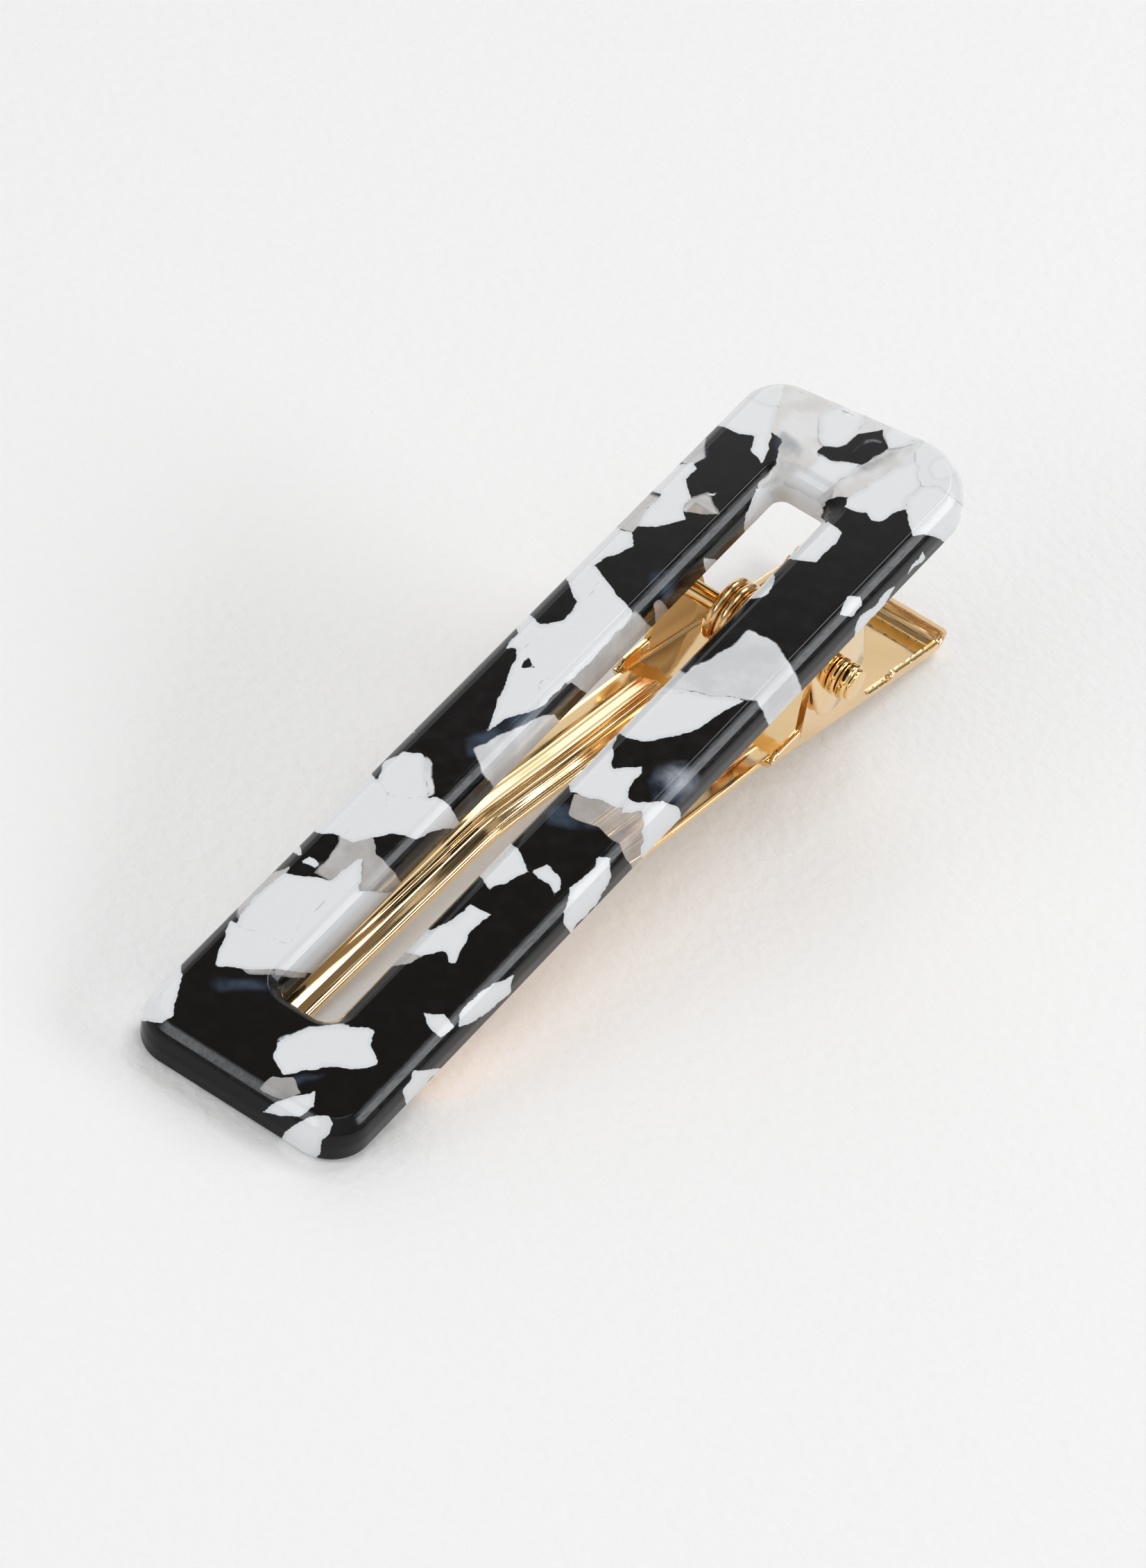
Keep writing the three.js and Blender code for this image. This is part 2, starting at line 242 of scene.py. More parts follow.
WHITE_CHIPS = [
    [(0.4, 9.6), (6.4, 9.6), (5.0, 7.9), (3.9, 7.4), (2.6, 6.9), (1.8, 6.3), (0.6, 6.5), (-0.4, 8.2)],
    [(7.0, 6.7), (8.8, 7.5), (10.8, 8.3), (10.9, 7.8), (13.4, 8.3), (16.8, 7.9), (17.4, 6.9), (18.2, 5.2),
     (19.0, 5.0), (21.5, 4.65), (18.7, 3.05), (19.4, 2.2), (20.2, 0.8), (10.8, 0.8), (10.5, 1.5), (9.6, 3.1),
     (8.6, 4.4)],
    [(18.4, 9.5), (19.6, 9.5), (19.1, 8.2), (18.7, 7.8)],
    [(18.2, 7.5), (19.1, 7.4), (18.8, 6.4), (18.4, 6.5)],
    [(21.1, 9.6), (28.0, 9.6), (27.6, 7.9), (28.9, 8.4), (30.9, 8.2), (31.8, 6.8), (30.4, 5.6), (28.6, 4.3),
     (29.1, 3.8), (29.0, 2.6), (27.9, 0.8), (26.8, 1.9), (25.1, 2.8), (24.4, 4.4), (23.2, 5.1), (22.0, 5.8),
     (21.9, 6.9), (21.2, 7.9)],
    [(32.3, 9.5), (33.4, 9.5), (32.8, 8.4)],
    [(36.3, 4.6), (38.2, 5.3), (39.8, 5.9), (41.7, 6.5), (43.9, 7.3), (43.5, 8.0), (45.1, 8.2), (46.0, 9.1),
     (47.1, 8.8), (46.8, 7.5), (48.3, 6.4), (50.3, 6.6), (51.4, 8.2), (52.1, 9.6), (58.4, 9.6), (58.0, 8.0),
     (58.3, 7.4), (57.4, 6.6), (55.8, 7.2), (53.9, 7.7), (53.5, 6.4), (52.6, 4.7), (52.2, 2.9), (44.4, 2.7),
     (43.4, 3.0), (40.8, 2.9), (39.6, 3.4), (38.2, 4.2)],
    [(58.9, 7.5), (61.1, 7.9), (62.8, 8.0), (62.2, 9.6), (66.2, 9.6), (66.0, 8.4), (66.8, 7.9), (66.4, 7.3),
     (65.0, 7.4), (64.2, 6.5), (63.9, 6.1), (62.6, 5.8), (61.8, 5.2), (60.0, 6.3)],
    [(64.8, 5.5), (65.5, 4.7), (65.1, 4.8)],
    [(70.7, 9.6), (74.6, 9.6), (74.8, 7.6), (75.4, 6.4), (73.3, 5.3), (71.4, 4.4), (69.8, 4.0), (70.6, 5.3),
     (71.9, 6.0), (71.1, 7.4)],
    [(62.8, 0.4), (64.2, 1.6), (65.4, 2.1), (67.8, 3.0), (68.6, 2.2), (67.6, 1.0), (66.0, 0.6)],
    [(58.2, 0.6), (59.1, 1.6), (59.9, 2.2), (60.3, 0.8)],
    [(-1.2, -3.2), (0.7, -3.7), (2.6, -5.0), (1.4, -5.6), (0.1, -5.4), (-0.7, -4.4)],
    [(-3.0, -5.6), (-1.0, -5.5), (0.7, -6.0), (1.4, -6.8), (1.0, -7.5), (-0.8, -8.0), (-2.4, -8.4)],
    [(2.4, -2.4), (3.2, -1.0), (4.3, -0.4), (6.8, -1.5), (8.6, -3.3), (9.6, -4.9), (8.3, -5.4), (7.3, -6.8),
     (6.4, -6.4), (4.8, -4.2), (3.2, -3.1)],
    [(12.9, -6.6), (13.7, -7.7), (13.3, -8.9), (11.8, -8.9), (12.3, -7.5)],
    [(13.3, -9.2), (14.6, -8.6), (16.2, -8.5), (18.0, -8.8), (19.6, -9.6), (18.0, -10.2), (15.4, -10.1)],
    [(5.4, -10.6), (6.2, -9.5), (8.4, -9.1), (9.6, -10.4)],
    [(16.2, -1.4), (19.6, -1.4), (19.1, -2.8), (20.9, -3.5), (22.9, -3.6), (22.9, -5.1), (21.2, -5.0),
     (19.0, -5.4), (17.8, -5.8), (17.5, -5.4), (18.2, -4.7), (17.6, -4.2), (16.8, -3.6)],
    [(25.3, -1.4), (29.2, -1.4), (28.9, -3.3), (27.8, -4.9), (26.9, -4.6), (24.8, -3.9), (25.2, -2.8)],
    [(28.0, -5.2), (29.1, -5.6), (28.9, -6.7), (27.9, -7.6), (27.1, -7.6), (27.8, -6.6)],
    [(25.0, -10.4), (25.6, -9.3), (27.0, -8.8), (28.4, -8.0), (31.2, -8.3), (31.9, -7.9), (32.4, -8.6),
     (31.2, -9.6), (29.0, -10.2)],
    [(35.4, -3.1), (36.5, -2.3), (38.2, -1.4), (42.4, -1.4), (42.1, -2.5), (40.4, -3.3), (39.2, -4.2),
     (40.7, -5.5), (40.4, -5.9), (38.4, -6.0), (37.5, -6.7), (36.5, -6.6), (36.2, -5.0), (35.7, -3.6)],
    [(36.4, -6.9), (37.6, -6.6), (38.2, -7.8), (39.0, -8.5), (39.3, -9.6), (38.6, -10.5), (33.6, -10.5),
     (35.8, -9.2), (37.4, -7.9)],
    [(42.2, -1.4), (47.4, -1.4), (48.3, -3.6), (49.2, -5.6), (50.6, -7.6), (47.4, -6.9), (46.3, -6.8),
     (44.4, -5.8), (43.0, -4.7), (42.2, -3.3)],
    [(57.4, -1.4), (62.6, -1.4), (61.6, -2.8), (59.9, -3.4), (59.2, -3.2)],
    [(62.8, -1.6), (68.7, -1.6), (68.2, -4.2), (66.8, -4.4), (65.7, -4.2), (64.6, -4.3)],
    [(61.7, -8.4), (63.4, -7.9), (63.9, -8.5), (63.4, -9.2), (62.2, -9.2)],
    [(60.6, -10.5), (61.9, -9.7), (65.8, -9.8), (66.6, -10.1), (64.0, -10.5)],
    [(68.0, -10.0), (70.6, -9.6), (70.4, -10.1)],
    [(70.1, -2.4), (72.0, -2.75), (74.8, -3.4), (77.0, -4.0), (77.4, -4.4), (77.2, -4.9), (76.3, -5.4),
     (75.6, -6.05), (74.3, -5.9), (73.1, -6.3), (72.3, -6.0), (71.0, -5.8), (70.7, -5.1), (70.9, -4.5),
     (70.5, -3.6)],
    [(73.1, -6.35), (74.3, -5.95), (75.7, -6.15), (76.5, -7.0), (76.3, -8.3), (76.1, -10.5), (72.5, -10.5),
     (72.1, -8.9), (71.4, -8.3), (72.2, -7.3)],
    [(77.3, -2.2), (77.9, -1.5), (78.5, -1.1), (79.3, -1.2), (80.0, -1.8), (80.4, -3.4), (79.3, -3.5),
     (78.1, -3.0)],
    [(74.8, 2.4), (75.8, 2.9), (76.7, 3.3), (77.6, 3.2), (78.8, 2.4), (79.0, 1.3), (78.0, 0.5), (76.9, 0.3),
     (75.5, 0.4), (74.8, 0.8), (74.3, 1.4)],
    [(71.5, 1.2), (73.4, 1.1), (73.6, 0.3), (74.1, -0.6), (74.5, -1.4), (73.1, -1.45), (71.4, -1.0),
     (69.8, -1.0), (69.5, 1.8), (71.4, 1.8)],
    [(77.3, -5.6), (78.4, -5.2), (80.4, -6.2), (79.4, -7.4), (77.2, -7.2), (76.8, -6.4)],
]
MILK_CHIPS = [
    [(47.2, -1.4), (49.8, -1.4), (49.9, -3.1), (51.4, -3.5), (54.2, -4.2), (56.1, -4.2), (56.4, -5.5),
     (56.2, -6.7), (55.2, -8.4), (54.0, -10.5), (49.6, -10.5), (51.0, -8.5), (50.6, -7.6), (49.2, -5.6),
     (48.3, -3.6)],
    [(36.9, -3.3), (40.1, -2.5), (39.5, -3.6), (38.7, -4.3)],
    [(28.6, 4.3), (31.8, 6.8), (31.4, 5.8), (29.2, 4.2)],
    [(4.4, -0.3), (6.9, -1.4), (8.8, -3.3), (8.4, -3.6), (6.6, -2.0)],
    [(34.4, 4.4), (33.3, 3.0), (32.1, 0.9), (42.3, 0.9), (40.0, 2.4), (37.2, 3.4)],
    [(77.2, -4.6), (78.2, -4.0), (81.6, -3.6), (83.0, -6.0), (82.0, -10.5), (76.2, -10.5), (76.4, -7.0),
     (75.7, -6.1), (76.4, -5.3)],
    [(74.4, 9.6), (74.9, 7.0), (75.5, 6.2), (76.7, 6.7), (78.2, 7.6), (79.0, 9.6)],
    [(66.8, 0.6), (68.4, 1.9), (69.4, 1.8), (69.9, -1.0), (69.2, -1.9), (68.0, -2.2), (67.4, -1.0)],
]
CLEAR_CHIPS = [
    [(18.1, 6.3), (19.8, 6.4), (21.9, 6.9), (23.3, 5.1), (22.1, 4.2), (22.0, 3.0), (21.0, 0.9), (17.8, 0.9),
     (18.2, 5.1)],
    [(8.3, 5.6), (9.5, 3.4), (10.8, 1.6), (10.0, 1.4), (8.0, 4.6)],
    [(11.2, 8.0), (12.6, 8.9), (14.8, 8.9), (17.4, 8.1), (16.6, 7.7)],
    [(43.5, 3.0), (52.5, 3.0), (51.8, 0.8), (43.5, 0.8)],
    [(52.0, 0.8), (53.6, 2.3), (54.3, 2.3), (54.0, 0.8)],
    [(57.9, 9.0), (61.6, 9.2), (62.8, 7.8), (61.0, 7.9), (58.3, 7.3)],
    [(62.4, 5.9), (63.8, 6.3), (65.2, 5.3), (64.6, 4.6), (64.0, 3.5), (63.2, 4.3)],
    [(66.2, 8.9), (69.8, 8.9), (67.8, 7.5), (66.4, 7.8)],
    [(0.3, -1.9), (1.8, -2.0), (2.6, -3.1), (1.9, -4.3), (0.5, -3.8)],
    [(13.7, -2.0), (16.4, -1.4), (17.2, -3.8), (15.7, -3.3)],
    [(33.6, -4.2), (35.5, -3.4), (36.4, -5.0), (36.8, -6.6), (38.0, -7.8), (36.2, -9.4), (34.4, -10.5),
     (32.6, -10.5), (33.8, -8.6), (34.2, -6.6)],
    [(68.0, 3.0), (70.8, 3.2), (71.7, 3.8), (72.8, 4.2), (73.0, 5.2), (75.0, 6.6), (74.2, 9.6), (84.0, 9.6),
     (84.0, -10.5), (72.9, -10.5), (72.4, -8.9), (71.6, -8.3), (73.3, -6.4), (71.4, -2.6), (69.4, -1.7),
     (67.6, -1.4), (67.4, 0.6), (67.4, 2.6)],
]
SMOKE_CHIPS_AND_PAINTED_SHADE = [
    [(54.0, 1.7), (55.1, 2.8), (55.1, 3.75), (56.0, 4.2), (56.7, 3.9), (57.2, 2.9), (55.6, 1.6)],
    [(5.4, 6.1), (6.2, 6.1), (8.7, 2.8), (8.4, 2.4), (7.6, 2.7), (5.5, 5.1)],
    [(34.8, 5.4), (36.4, 4.7), (38.6, 4.1), (41.6, 2.9), (38.0, 2.2), (34.2, 3.2), (33.6, 4.2)],
    [(32.1, -3.4), (33.0, -2.6), (34.6, -3.3), (34.2, -6.8), (33.3, -5.8)],
    [(49.6, -2.6), (51.8, -3.6), (53.6, -4.3), (51.0, -4.6)],
    [(67.4, 2.8), (70.4, 3.1), (72.8, 4.8), (73.6, 4.7), (73.7, 3.4), (73.1, 2.3), (71.4, 1.7), (69.8, 1.9),
     (68.4, 2.3)],
    [(66.2, 9.0), (68.2, 9.2), (69.8, 8.9), (69.0, 7.9), (67.8, 7.4), (66.6, 7.8)],
    # This patch in the clear rear bar is painted shade seen through the acetate, drawn like a smoke chip.
    [(73.4, -1.8), (75.2, -1.7), (77.2, -2.4), (77.8, -3.0), (76.4, -3.1), (74.6, -2.6)],
    [(38.6, -8.0), (40.0, -6.8), (41.6, -6.6), (43.2, -7.6), (42.6, -9.4), (40.0, -9.8)],
    [(29.4, 1.6), (30.8, 2.1), (31.0, 1.9), (30.0, 1.3)],
    [(2.6, -3.0), (4.2, -4.4), (3.4, -4.3), (2.2, -3.6)],
]
BLACK_CHIPS = [
    [(73.5, 1.55), (74.3, 1.5), (74.8, 0.7), (75.5, 0.35), (76.9, 0.25), (77.7, -0.35), (78.6, -0.9),
     (78.1, -1.1), (77.6, -1.75), (77.3, -2.2), (76.1, -2.0), (75.1, -1.7), (74.5, -1.55), (74.1, -0.6),
     (73.6, 0.4)],
    [(68.2, -2.6), (69.2, -2.1), (69.9, -1.55), (70.4, -1.75), (71.4, -2.5), (70.4, -3.0)],
    [(42.6, 6.0), (43.2, 6.35), (43.7, 6.4), (43.7, 6.1), (43.4, 5.3), (43.1, 5.7)],
    [(41.2, 2.5), (43.0, 2.9), (43.9, 2.6), (43.7, 0.8), (40.2, 0.8), (40.6, 1.8)],
]
# Pearly spots as (u, v, radius).
PEARLS = [(41.5, -8.1, 1.7), (20.1, 3.4, 0.6), (18.8, 6.2, 0.5), (1.5, -3.8, 0.5)]
# Painted highlights: light-grey glint outlines drawn into the pattern, the first curving inside the black
# swirl of the rear bar. They take the pearly spots' pale colour.
GLINTS = [
    [(74.9, -0.3), (76.1, -0.35), (76.8, -0.45), (77.4, -1.0), (77.55, -1.55), (77.2, -1.55), (77.1, -1.1),
     (76.7, -0.75), (76.1, -0.55), (75.3, -0.5)],
    [(72.9, 2.3), (74.4, 2.25), (74.4, 2.1), (72.9, 2.15)],
]
CRACKS = [
    [(10.8, 7.9), (11.4, 5.5), (11.6, 4.4), (12.2, 4.0), (13.4, 4.4), (15.8, 4.3), (17.6, 4.4), (18.7, 3.0)],
    [(21.8, 6.6), (22.9, 6.9), (23.4, 6.4), (24.8, 6.3), (26.4, 6.2), (27.2, 6.6), (27.9, 8.4)],
    [(27.2, 6.6), (27.4, 5.7), (28.5, 4.5)],
    [(44.0, 7.2), (46.2, 6.5), (48.3, 6.4), (51.0, 6.45), (53.4, 6.4)],
    [(40.4, 3.2), (42.6, 4.3), (44.4, 3.9), (45.2, 2.8)],
    [(46.7, -2.4), (48.6, -4.4), (49.6, -3.6), (50.6, -3.4)],
    [(58.8, 7.5), (60.9, 7.8), (62.8, 8.0)],
    [(73.0, -6.3), (74.3, -5.95), (75.8, -6.1), (77.4, -4.4)],
    [(76.3, -5.4), (78.2, -5.0), (80.2, -4.6)],
    [(75.7, -6.2), (76.5, -7.0), (76.4, -8.6)],
]


def inside_distance(places, outline):
    """Distance in from a closed outline, negative outside it."""
    a = np.array(outline, float)
    b = np.roll(a, -1, axis=0)
    nearest = np.full(len(places), 1e9)
    inside = np.zeros(len(places), bool)
    x, y = places[:, 0], places[:, 1]
    for (ax, ay), (bx, by) in zip(a, b):
        ex, ey = bx - ax, by - ay
        t = np.clip(((x - ax) * ex + (y - ay) * ey) / (ex * ex + ey * ey), 0, 1)
        nearest = np.minimum(nearest, np.hypot(x - ax - t * ex, y - ay - t * ey))
        if ay != by:
            inside ^= ((ay > y) != (by > y)) & (x < ex * (y - ay) / ey + ax)
    return np.where(inside, nearest, -nearest)


def line_distance(places, lines):
    """Distance from each place to the nearest of some open lines."""
    nearest = np.full(len(places), 3.0)
    for line in lines:
        for (ax, ay), (bx, by) in zip(line, line[1:]):
            ex, ey = bx - ax, by - ay
            along_x, along_y = places[:, 0] - ax, places[:, 1] - ay
            t = np.clip((along_x * ex + along_y * ey) / (ex * ex + ey * ey), 0, 1)
            nearest = np.minimum(nearest, np.hypot(along_x - t * ex, along_y - t * ey))
    return nearest


def chip_field(places, outlines):
    """Distance in from the nearest of the outlines' chips, negative between them."""
    field = np.full(len(places), -3.0)
    for outline in outlines:
        field = np.maximum(field, inside_distance(places, outline))
    return np.clip(field, -3.0, 3.0)


def pattern_attributes(points):
    """Each point's distance into every kind of chip, with the outlines made a little wavy. The pearly spots
    also carry the painted glint highlights.
    """
    depth = (THICKNESS - points[:, 2])[:, None]
    places = points[:, :2] + depth * np.array(CHIP_SLANT)
    noise.seed_set(WANDER_SEED)
    wander = np.array([noise.noise_vector(Vector((x * 0.9, y * 0.9, 3.0))) for x, y in places])[:, :2]
    places = places + wander * OUTLINE_WANDER
    pearl_and_painted_glint = np.full(len(places), -3.0)
    for u, v, radius in PEARLS:
        pearl_and_painted_glint = np.maximum(pearl_and_painted_glint, radius - np.hypot(places[:, 0] - u, places[:, 1] - v))
    # The glints are painted highlights, added sharply to the pearly spots.
    pearl_and_painted_glint = np.maximum(pearl_and_painted_glint, 6 * chip_field(places, GLINTS))
    return {
        "white": chip_field(places, WHITE_CHIPS),
        "milk": chip_field(places, MILK_CHIPS),
        "clear": chip_field(places, CLEAR_CHIPS),
        "smoke_and_painted_shade": chip_field(places, SMOKE_CHIPS_AND_PAINTED_SHADE),
        "black": chip_field(places, BLACK_CHIPS),
        "pearl_and_painted_glint": pearl_and_painted_glint,
        "crack": line_distance(places, CRACKS),
    }


# ---- acetate frame ----

# Corners as (u, v, radius).
OUTLINE = [
    (0.0, -WIDTH / 2, 3.2),
    (LENGTH + REAR_SKEW / 2, -WIDTH / 2, 5.0),
    (LENGTH - REAR_SKEW / 2, WIDTH / 2, 3.6),
    (0.0, WIDTH / 2, 3.2),
]
SLOT_FRONT, SLOT_REAR, SLOT_RIGHT, SLOT_LEFT, SLOT_RADIUS = 8.6, 70.6, -1.95, 2.45, 1.0
SLOT_OUTLINE = [
    (SLOT_FRONT, SLOT_RIGHT, SLOT_RADIUS),
    (SLOT_REAR, SLOT_RIGHT, SLOT_RADIUS),
    (SLOT_REAR, SLOT_LEFT, SLOT_RADIUS),
    (SLOT_FRONT, SLOT_LEFT, SLOT_RADIUS),
]
EDGE_STEP, UNDERSIDE_STEP = 0.26, 0.4
FLAT_START = 0.3
# (distance in from the wall, height) up the wall and over its rounded chamfer.
EDGE_SECTION = rounded_line(
    [(FLAT_START, 0), (0, 0), (0.02, THICKNESS - 1.9), (0.2, THICKNESS - 1.0), (0.5, THICKNESS - 0.6),
     (0.84, THICKNESS - 0.26), (CHAMFER, THICKNESS), (CHAMFER + FLAT_START, THICKNESS)],
    [0.3, 2.5, 1.0, 0.6, 0.5, 0.3],
    0.12,
)
FOOT_FRONT, FOOT_REAR, FOOT_WIDTH = 58.4, 65.8, 3.4
POCKET_GAP, POCKET_DEPTH = 0.12, 0.62
FOOT_TOP = POCKET_DEPTH - 0.1
RELIEF_DEPTH, RELIEF_V = 1.2, 0.9


def recesses():
    """Outlines and depths of what is milled into the underside: the relief and the feet's pockets."""
    half = [1.5, 0.6, 1.4]
    stops = [SLOT_REAR + reach for reach in (0.7, 2.4, 6.6, 7.2)]
    right = [(stops[0], -half[0]), (stops[1], -half[0]), (stops[1], -half[1]), (stops[2], -half[1]),
             (stops[2], -half[2]), (stops[3], -half[2])]
    relief = [(u, v + RELIEF_V) for u, v in right + [(u, -v) for u, v in reversed(right)]]
    found = [(relief, RELIEF_DEPTH)]
    front, rear = FOOT_FRONT - POCKET_GAP, FOOT_REAR + POCKET_GAP
    for side in (-1, 1):
        outer = CLIP_V + side * (EAR_OUTER + POCKET_GAP)
        inner = CLIP_V + side * (EAR_OUTER - FOOT_WIDTH - POCKET_GAP)
        low, high = sorted((outer, inner))
        found.append(([(front, low), (rear, low), (rear, high), (front, high)], POCKET_DEPTH))
    return found


def dense_outline(outline, step):
    points = []
    for a, b in zip(outline, outline[1:] + outline[:1]):
        points.extend(between(a, b, step)[:-1])
    return np.array(points)


def at_height(outline, w):
    return np.column_stack([outline, np.full(len(outline), w)])


def filled_sheet(loops, step):
    """Triangles between loops of (u, v) points, over a grid of points. The loops' points come first."""
    edges, start = [], 0
    for loop in loops:
        count = len(loop)
        edges.extend((start + i, start + (i + 1) % count) for i in range(count))
        start += count
    rows = enumerate(np.arange(-WIDTH / 2, WIDTH / 2, step * math.sqrt(0.75)))
    columns = np.arange(0, LENGTH + REAR_SKEW, step)
    grid = np.array([(u + (k % 2) * step / 2, v) for k, v in rows for u in columns])
    inside = inside_distance(grid, loops[0]) > step * 0.4
    for loop in loops[1:]:
        inside &= np.abs(inside_distance(grid, loop)) > step * 0.4
    inside &= inside_distance(grid, loops[1]) < 0
    points = np.concatenate([*loops, grid[inside]])
    made = delaunay_2d_cdt([Vector(p) for p in points], edges, [], 0, 1e-6)
    flat = np.array([(p.x, p.y) for p in made[0]])
    triangles = np.array(made[2])
    middles = flat[triangles].mean(axis=1)
    kept = (inside_distance(middles, loops[0]) > 0) & (inside_distance(middles, loops[1]) < 0)
    return flat, triangles[kept], middles[kept]


def edge_strips(loops):
    """The walls and chamfers round the outside and round the slot."""
    outside, slot = [
        loft([at_height(loop + inward * inset, height) for inset, height in EDGE_SECTION])
        for loop, inward in loops
    ]
    return [outside, flipped(slot)]


def top_face(loops):
    inset = CHAMFER + FLAT_START
    flat, triangles, _ = filled_sheet([loop + inward * inset for loop, inward in loops], EDGE_STEP)
    return at_height(flat, THICKNESS), [tuple(t) for t in triangles]


def milled_underside(loops):
    """The flat underside with the relief and the pockets cut into it."""
    milled = [(dense_outline(outline, 0.3), depth) for outline, depth in recesses()]
    rims = [loop + inward * FLAT_START for loop, inward in loops] + [m[0] for m in milled]
    flat, triangles, middles = filled_sheet(rims, UNDERSIDE_STEP)
    level = np.zeros(len(triangles))
    parts = []
    for outline, depth in milled:
        level[inside_distance(middles, outline) > 0] = depth
        parts.append(flipped(loft([at_height(outline, w) for w in (0.0, depth / 2, depth)])))
    for depth in sorted(set(level)):
        used, index = np.unique(triangles[level == depth], return_inverse=True)
        parts.append(flipped((at_height(flat[used], depth), index.reshape(-1, 3))))
    return parts


def acetate_frame(material):
    outer, outer_normals = closed_loop(OUTLINE, EDGE_STEP)
    slot, slot_normals = closed_loop(SLOT_OUTLINE, EDGE_STEP)
    loops = [(outer, -outer_normals), (slot, slot_normals)]
    parts = edge_strips(loops) + [top_face(loops)] + milled_underside(loops)
    points = np.concatenate([p[0] for p in parts])
    attributes = pattern_attributes(points)
    relief = inside_distance(points[:, :2], recesses()[0][0]) > -0.02
    attributes["frost"] = (relief & (points[:, 2] < RELIEF_DEPTH + 0.01)).astype(float)
    attributes["rear"] = np.clip((points[:, 0] - 66.0) / 4.0, 0, 1)
    attributes["side"] = (points[:, 2] < THICKNESS - 0.03).astype(float)
    piece = add_piece(
        "acetate_slotted_frame", parts, material, "frame_assembly", ["acetate_frame"], attributes
    )
    weld(piece)


def weld(piece, distance=2e-6, sharp_degrees=40):
    """Joins the parts of a piece along their shared rims and keeps its real edges crisp."""
    shape = bmesh.new()
    shape.from_mesh(piece.data)
    bmesh.ops.remove_doubles(shape, verts=shape.verts, dist=distance)
    shape.to_mesh(piece.data)
    shape.free()
    piece.data.set_sharp_from_angle(angle=math.radians(sharp_degrees))


# ---- lower jaw ----

UNDERSIDE = rounded_line([(4.5, -0.85), (33.5, -2.97), BOX_FRONT, HEEL], [22.0, 30.0], 0.5)
WING_HALF = [(4.5, 3.9), (5.0, 4.3), (6.5, 4.5), (40.0, 6.4), (57.5, 6.4)]
PRONG_INNER = 1.85
CROTCH = 46.0
CHEEK_RADIUS = 2.5
CHEEK_FRONT = PIN_U - CHEEK_RADIUS
BEND, INNER_BEND, SHEARED_EDGE = 0.75, 0.35, 0.08
LEFT_TRIM, LEFT_LIP = 0.56, 0.92
LIP_ROLL, LIP_RIM, RIM = 1.7, 0.85, 1.5
BURR, CHEEK_SWELL = 0.12, 0.12


def along(table, u):
    """The value at u of a table of (u, value) points."""
    us, values = zip(*table)
    return float(np.interp(u, us, values))


def underside(u):
    return float(np.interp(u, UNDERSIDE[:, 0], UNDERSIDE[:, 1]))


def prong_profile(u):
    """The top of a prong across its width: (distance from the clip's middle, height over the flat sheet).

    At the tip the sheet falls evenly from its crown towards the slot; further back it has ribs.
    """
    lift = along([(44, 0.0), (55.5, 0.3), (57.3, 0.3)], u)
    crown = lift + along([(4.5, 0.18), (14, 0.26), (30, 0.44), (40, 0.62), (57, 0.62)], u)
    lip = lift + along([(4.5, -0.25), (20, -0.14), (40, 0.03), (57, 0.05)], u)
    valley = along([(4.5, 0.0), (12, 0.02), (22, 0.12), (34, 0.24), (57, 0.26)], u)
    wing = lift + along([(4.5, -0.16), (20, -0.1), (36, 0.0), (57, 0.0)], u)
    inner = PRONG_INNER if u < CROTCH else max(-0.05, PRONG_INNER * (1 - ((u - CROTCH) / 1.6) ** 2))
    outer = along(WING_HALF, u)
    ridge = min(1.0, (outer - 1.9) / 3.2)
    fall = along([(4.5, 1.0), (16, 0.9), (32, 0.0)], u)
    rib = 1 - fall
    return sorted([
        (inner, lip - 0.05), (inner + 0.05, lip), (1.98, lip + 0.02), (2.05, lip - 0.02),
        (2.16, lip - 0.01), (2.26, lip + 0.05),
        (2.7, crown - 0.13 * fall - 0.06 * rib), (2.82, crown - 0.11 * fall - 0.005 * rib),
        (2.95, crown - 0.095 * fall), (3.14, crown - 0.066 * fall - 0.015 * rib),
        (3.24, crown - 0.051 * fall - (valley + 0.01) * rib), (3.38, crown - 0.03 * fall - valley * rib),
        (3.48, crown - 0.015 * fall - 0.05 * rib), (3.56, crown), (3.7, crown - 0.01), (3.84, crown - 0.05),
        (1.9 + 2.95 * ridge, wing + 0.06), (1.9 + 3.15 * ridge, wing), (1.9 + 3.2 * ridge, wing - 0.03),
        (1.9 + 3.26 * ridge, wing), (outer - 0.06, wing), (outer, wing - 0.06),
    ])


def prong(side):
    """One prong of the jaw with its wing, from its tip to the front of the box."""
    rings = []
    for u in np.concatenate([[4.5, 4.62, 4.8], np.arange(5.2, 56.6, 0.45), [57.0, 57.3]]):
        knots = prong_profile(u)
        across = np.array([k[0] for k in knots])
        steps = np.linspace(0, len(knots) - 1, 4 * (len(knots) - 1) + 1)
        spread = np.interp(steps, np.arange(len(knots)), across)
        smooth = np.interp(spread, across, [k[1] for k in knots])
        for _ in range(3):
            smooth[1:-1] = (smooth[:-2] + 2 * smooth[1:-1] + smooth[2:]) / 4
        pinch = along([(4.5, 0.5), (4.62, 0.8), (4.8, 1.0)], u)
        base = underside(u) + SHEET * (1 + pinch) / 2
        top = [(u, CLIP_V + side * h, base + z) for h, z in zip(spread, smooth)]
        low = [(u, v, w - SHEET * pinch) for (u, v, w) in reversed(top)]
        rings.append(top + low)
    part = loft(rings, cap_ends=True)
    return flipped(part) if side > 0 else part


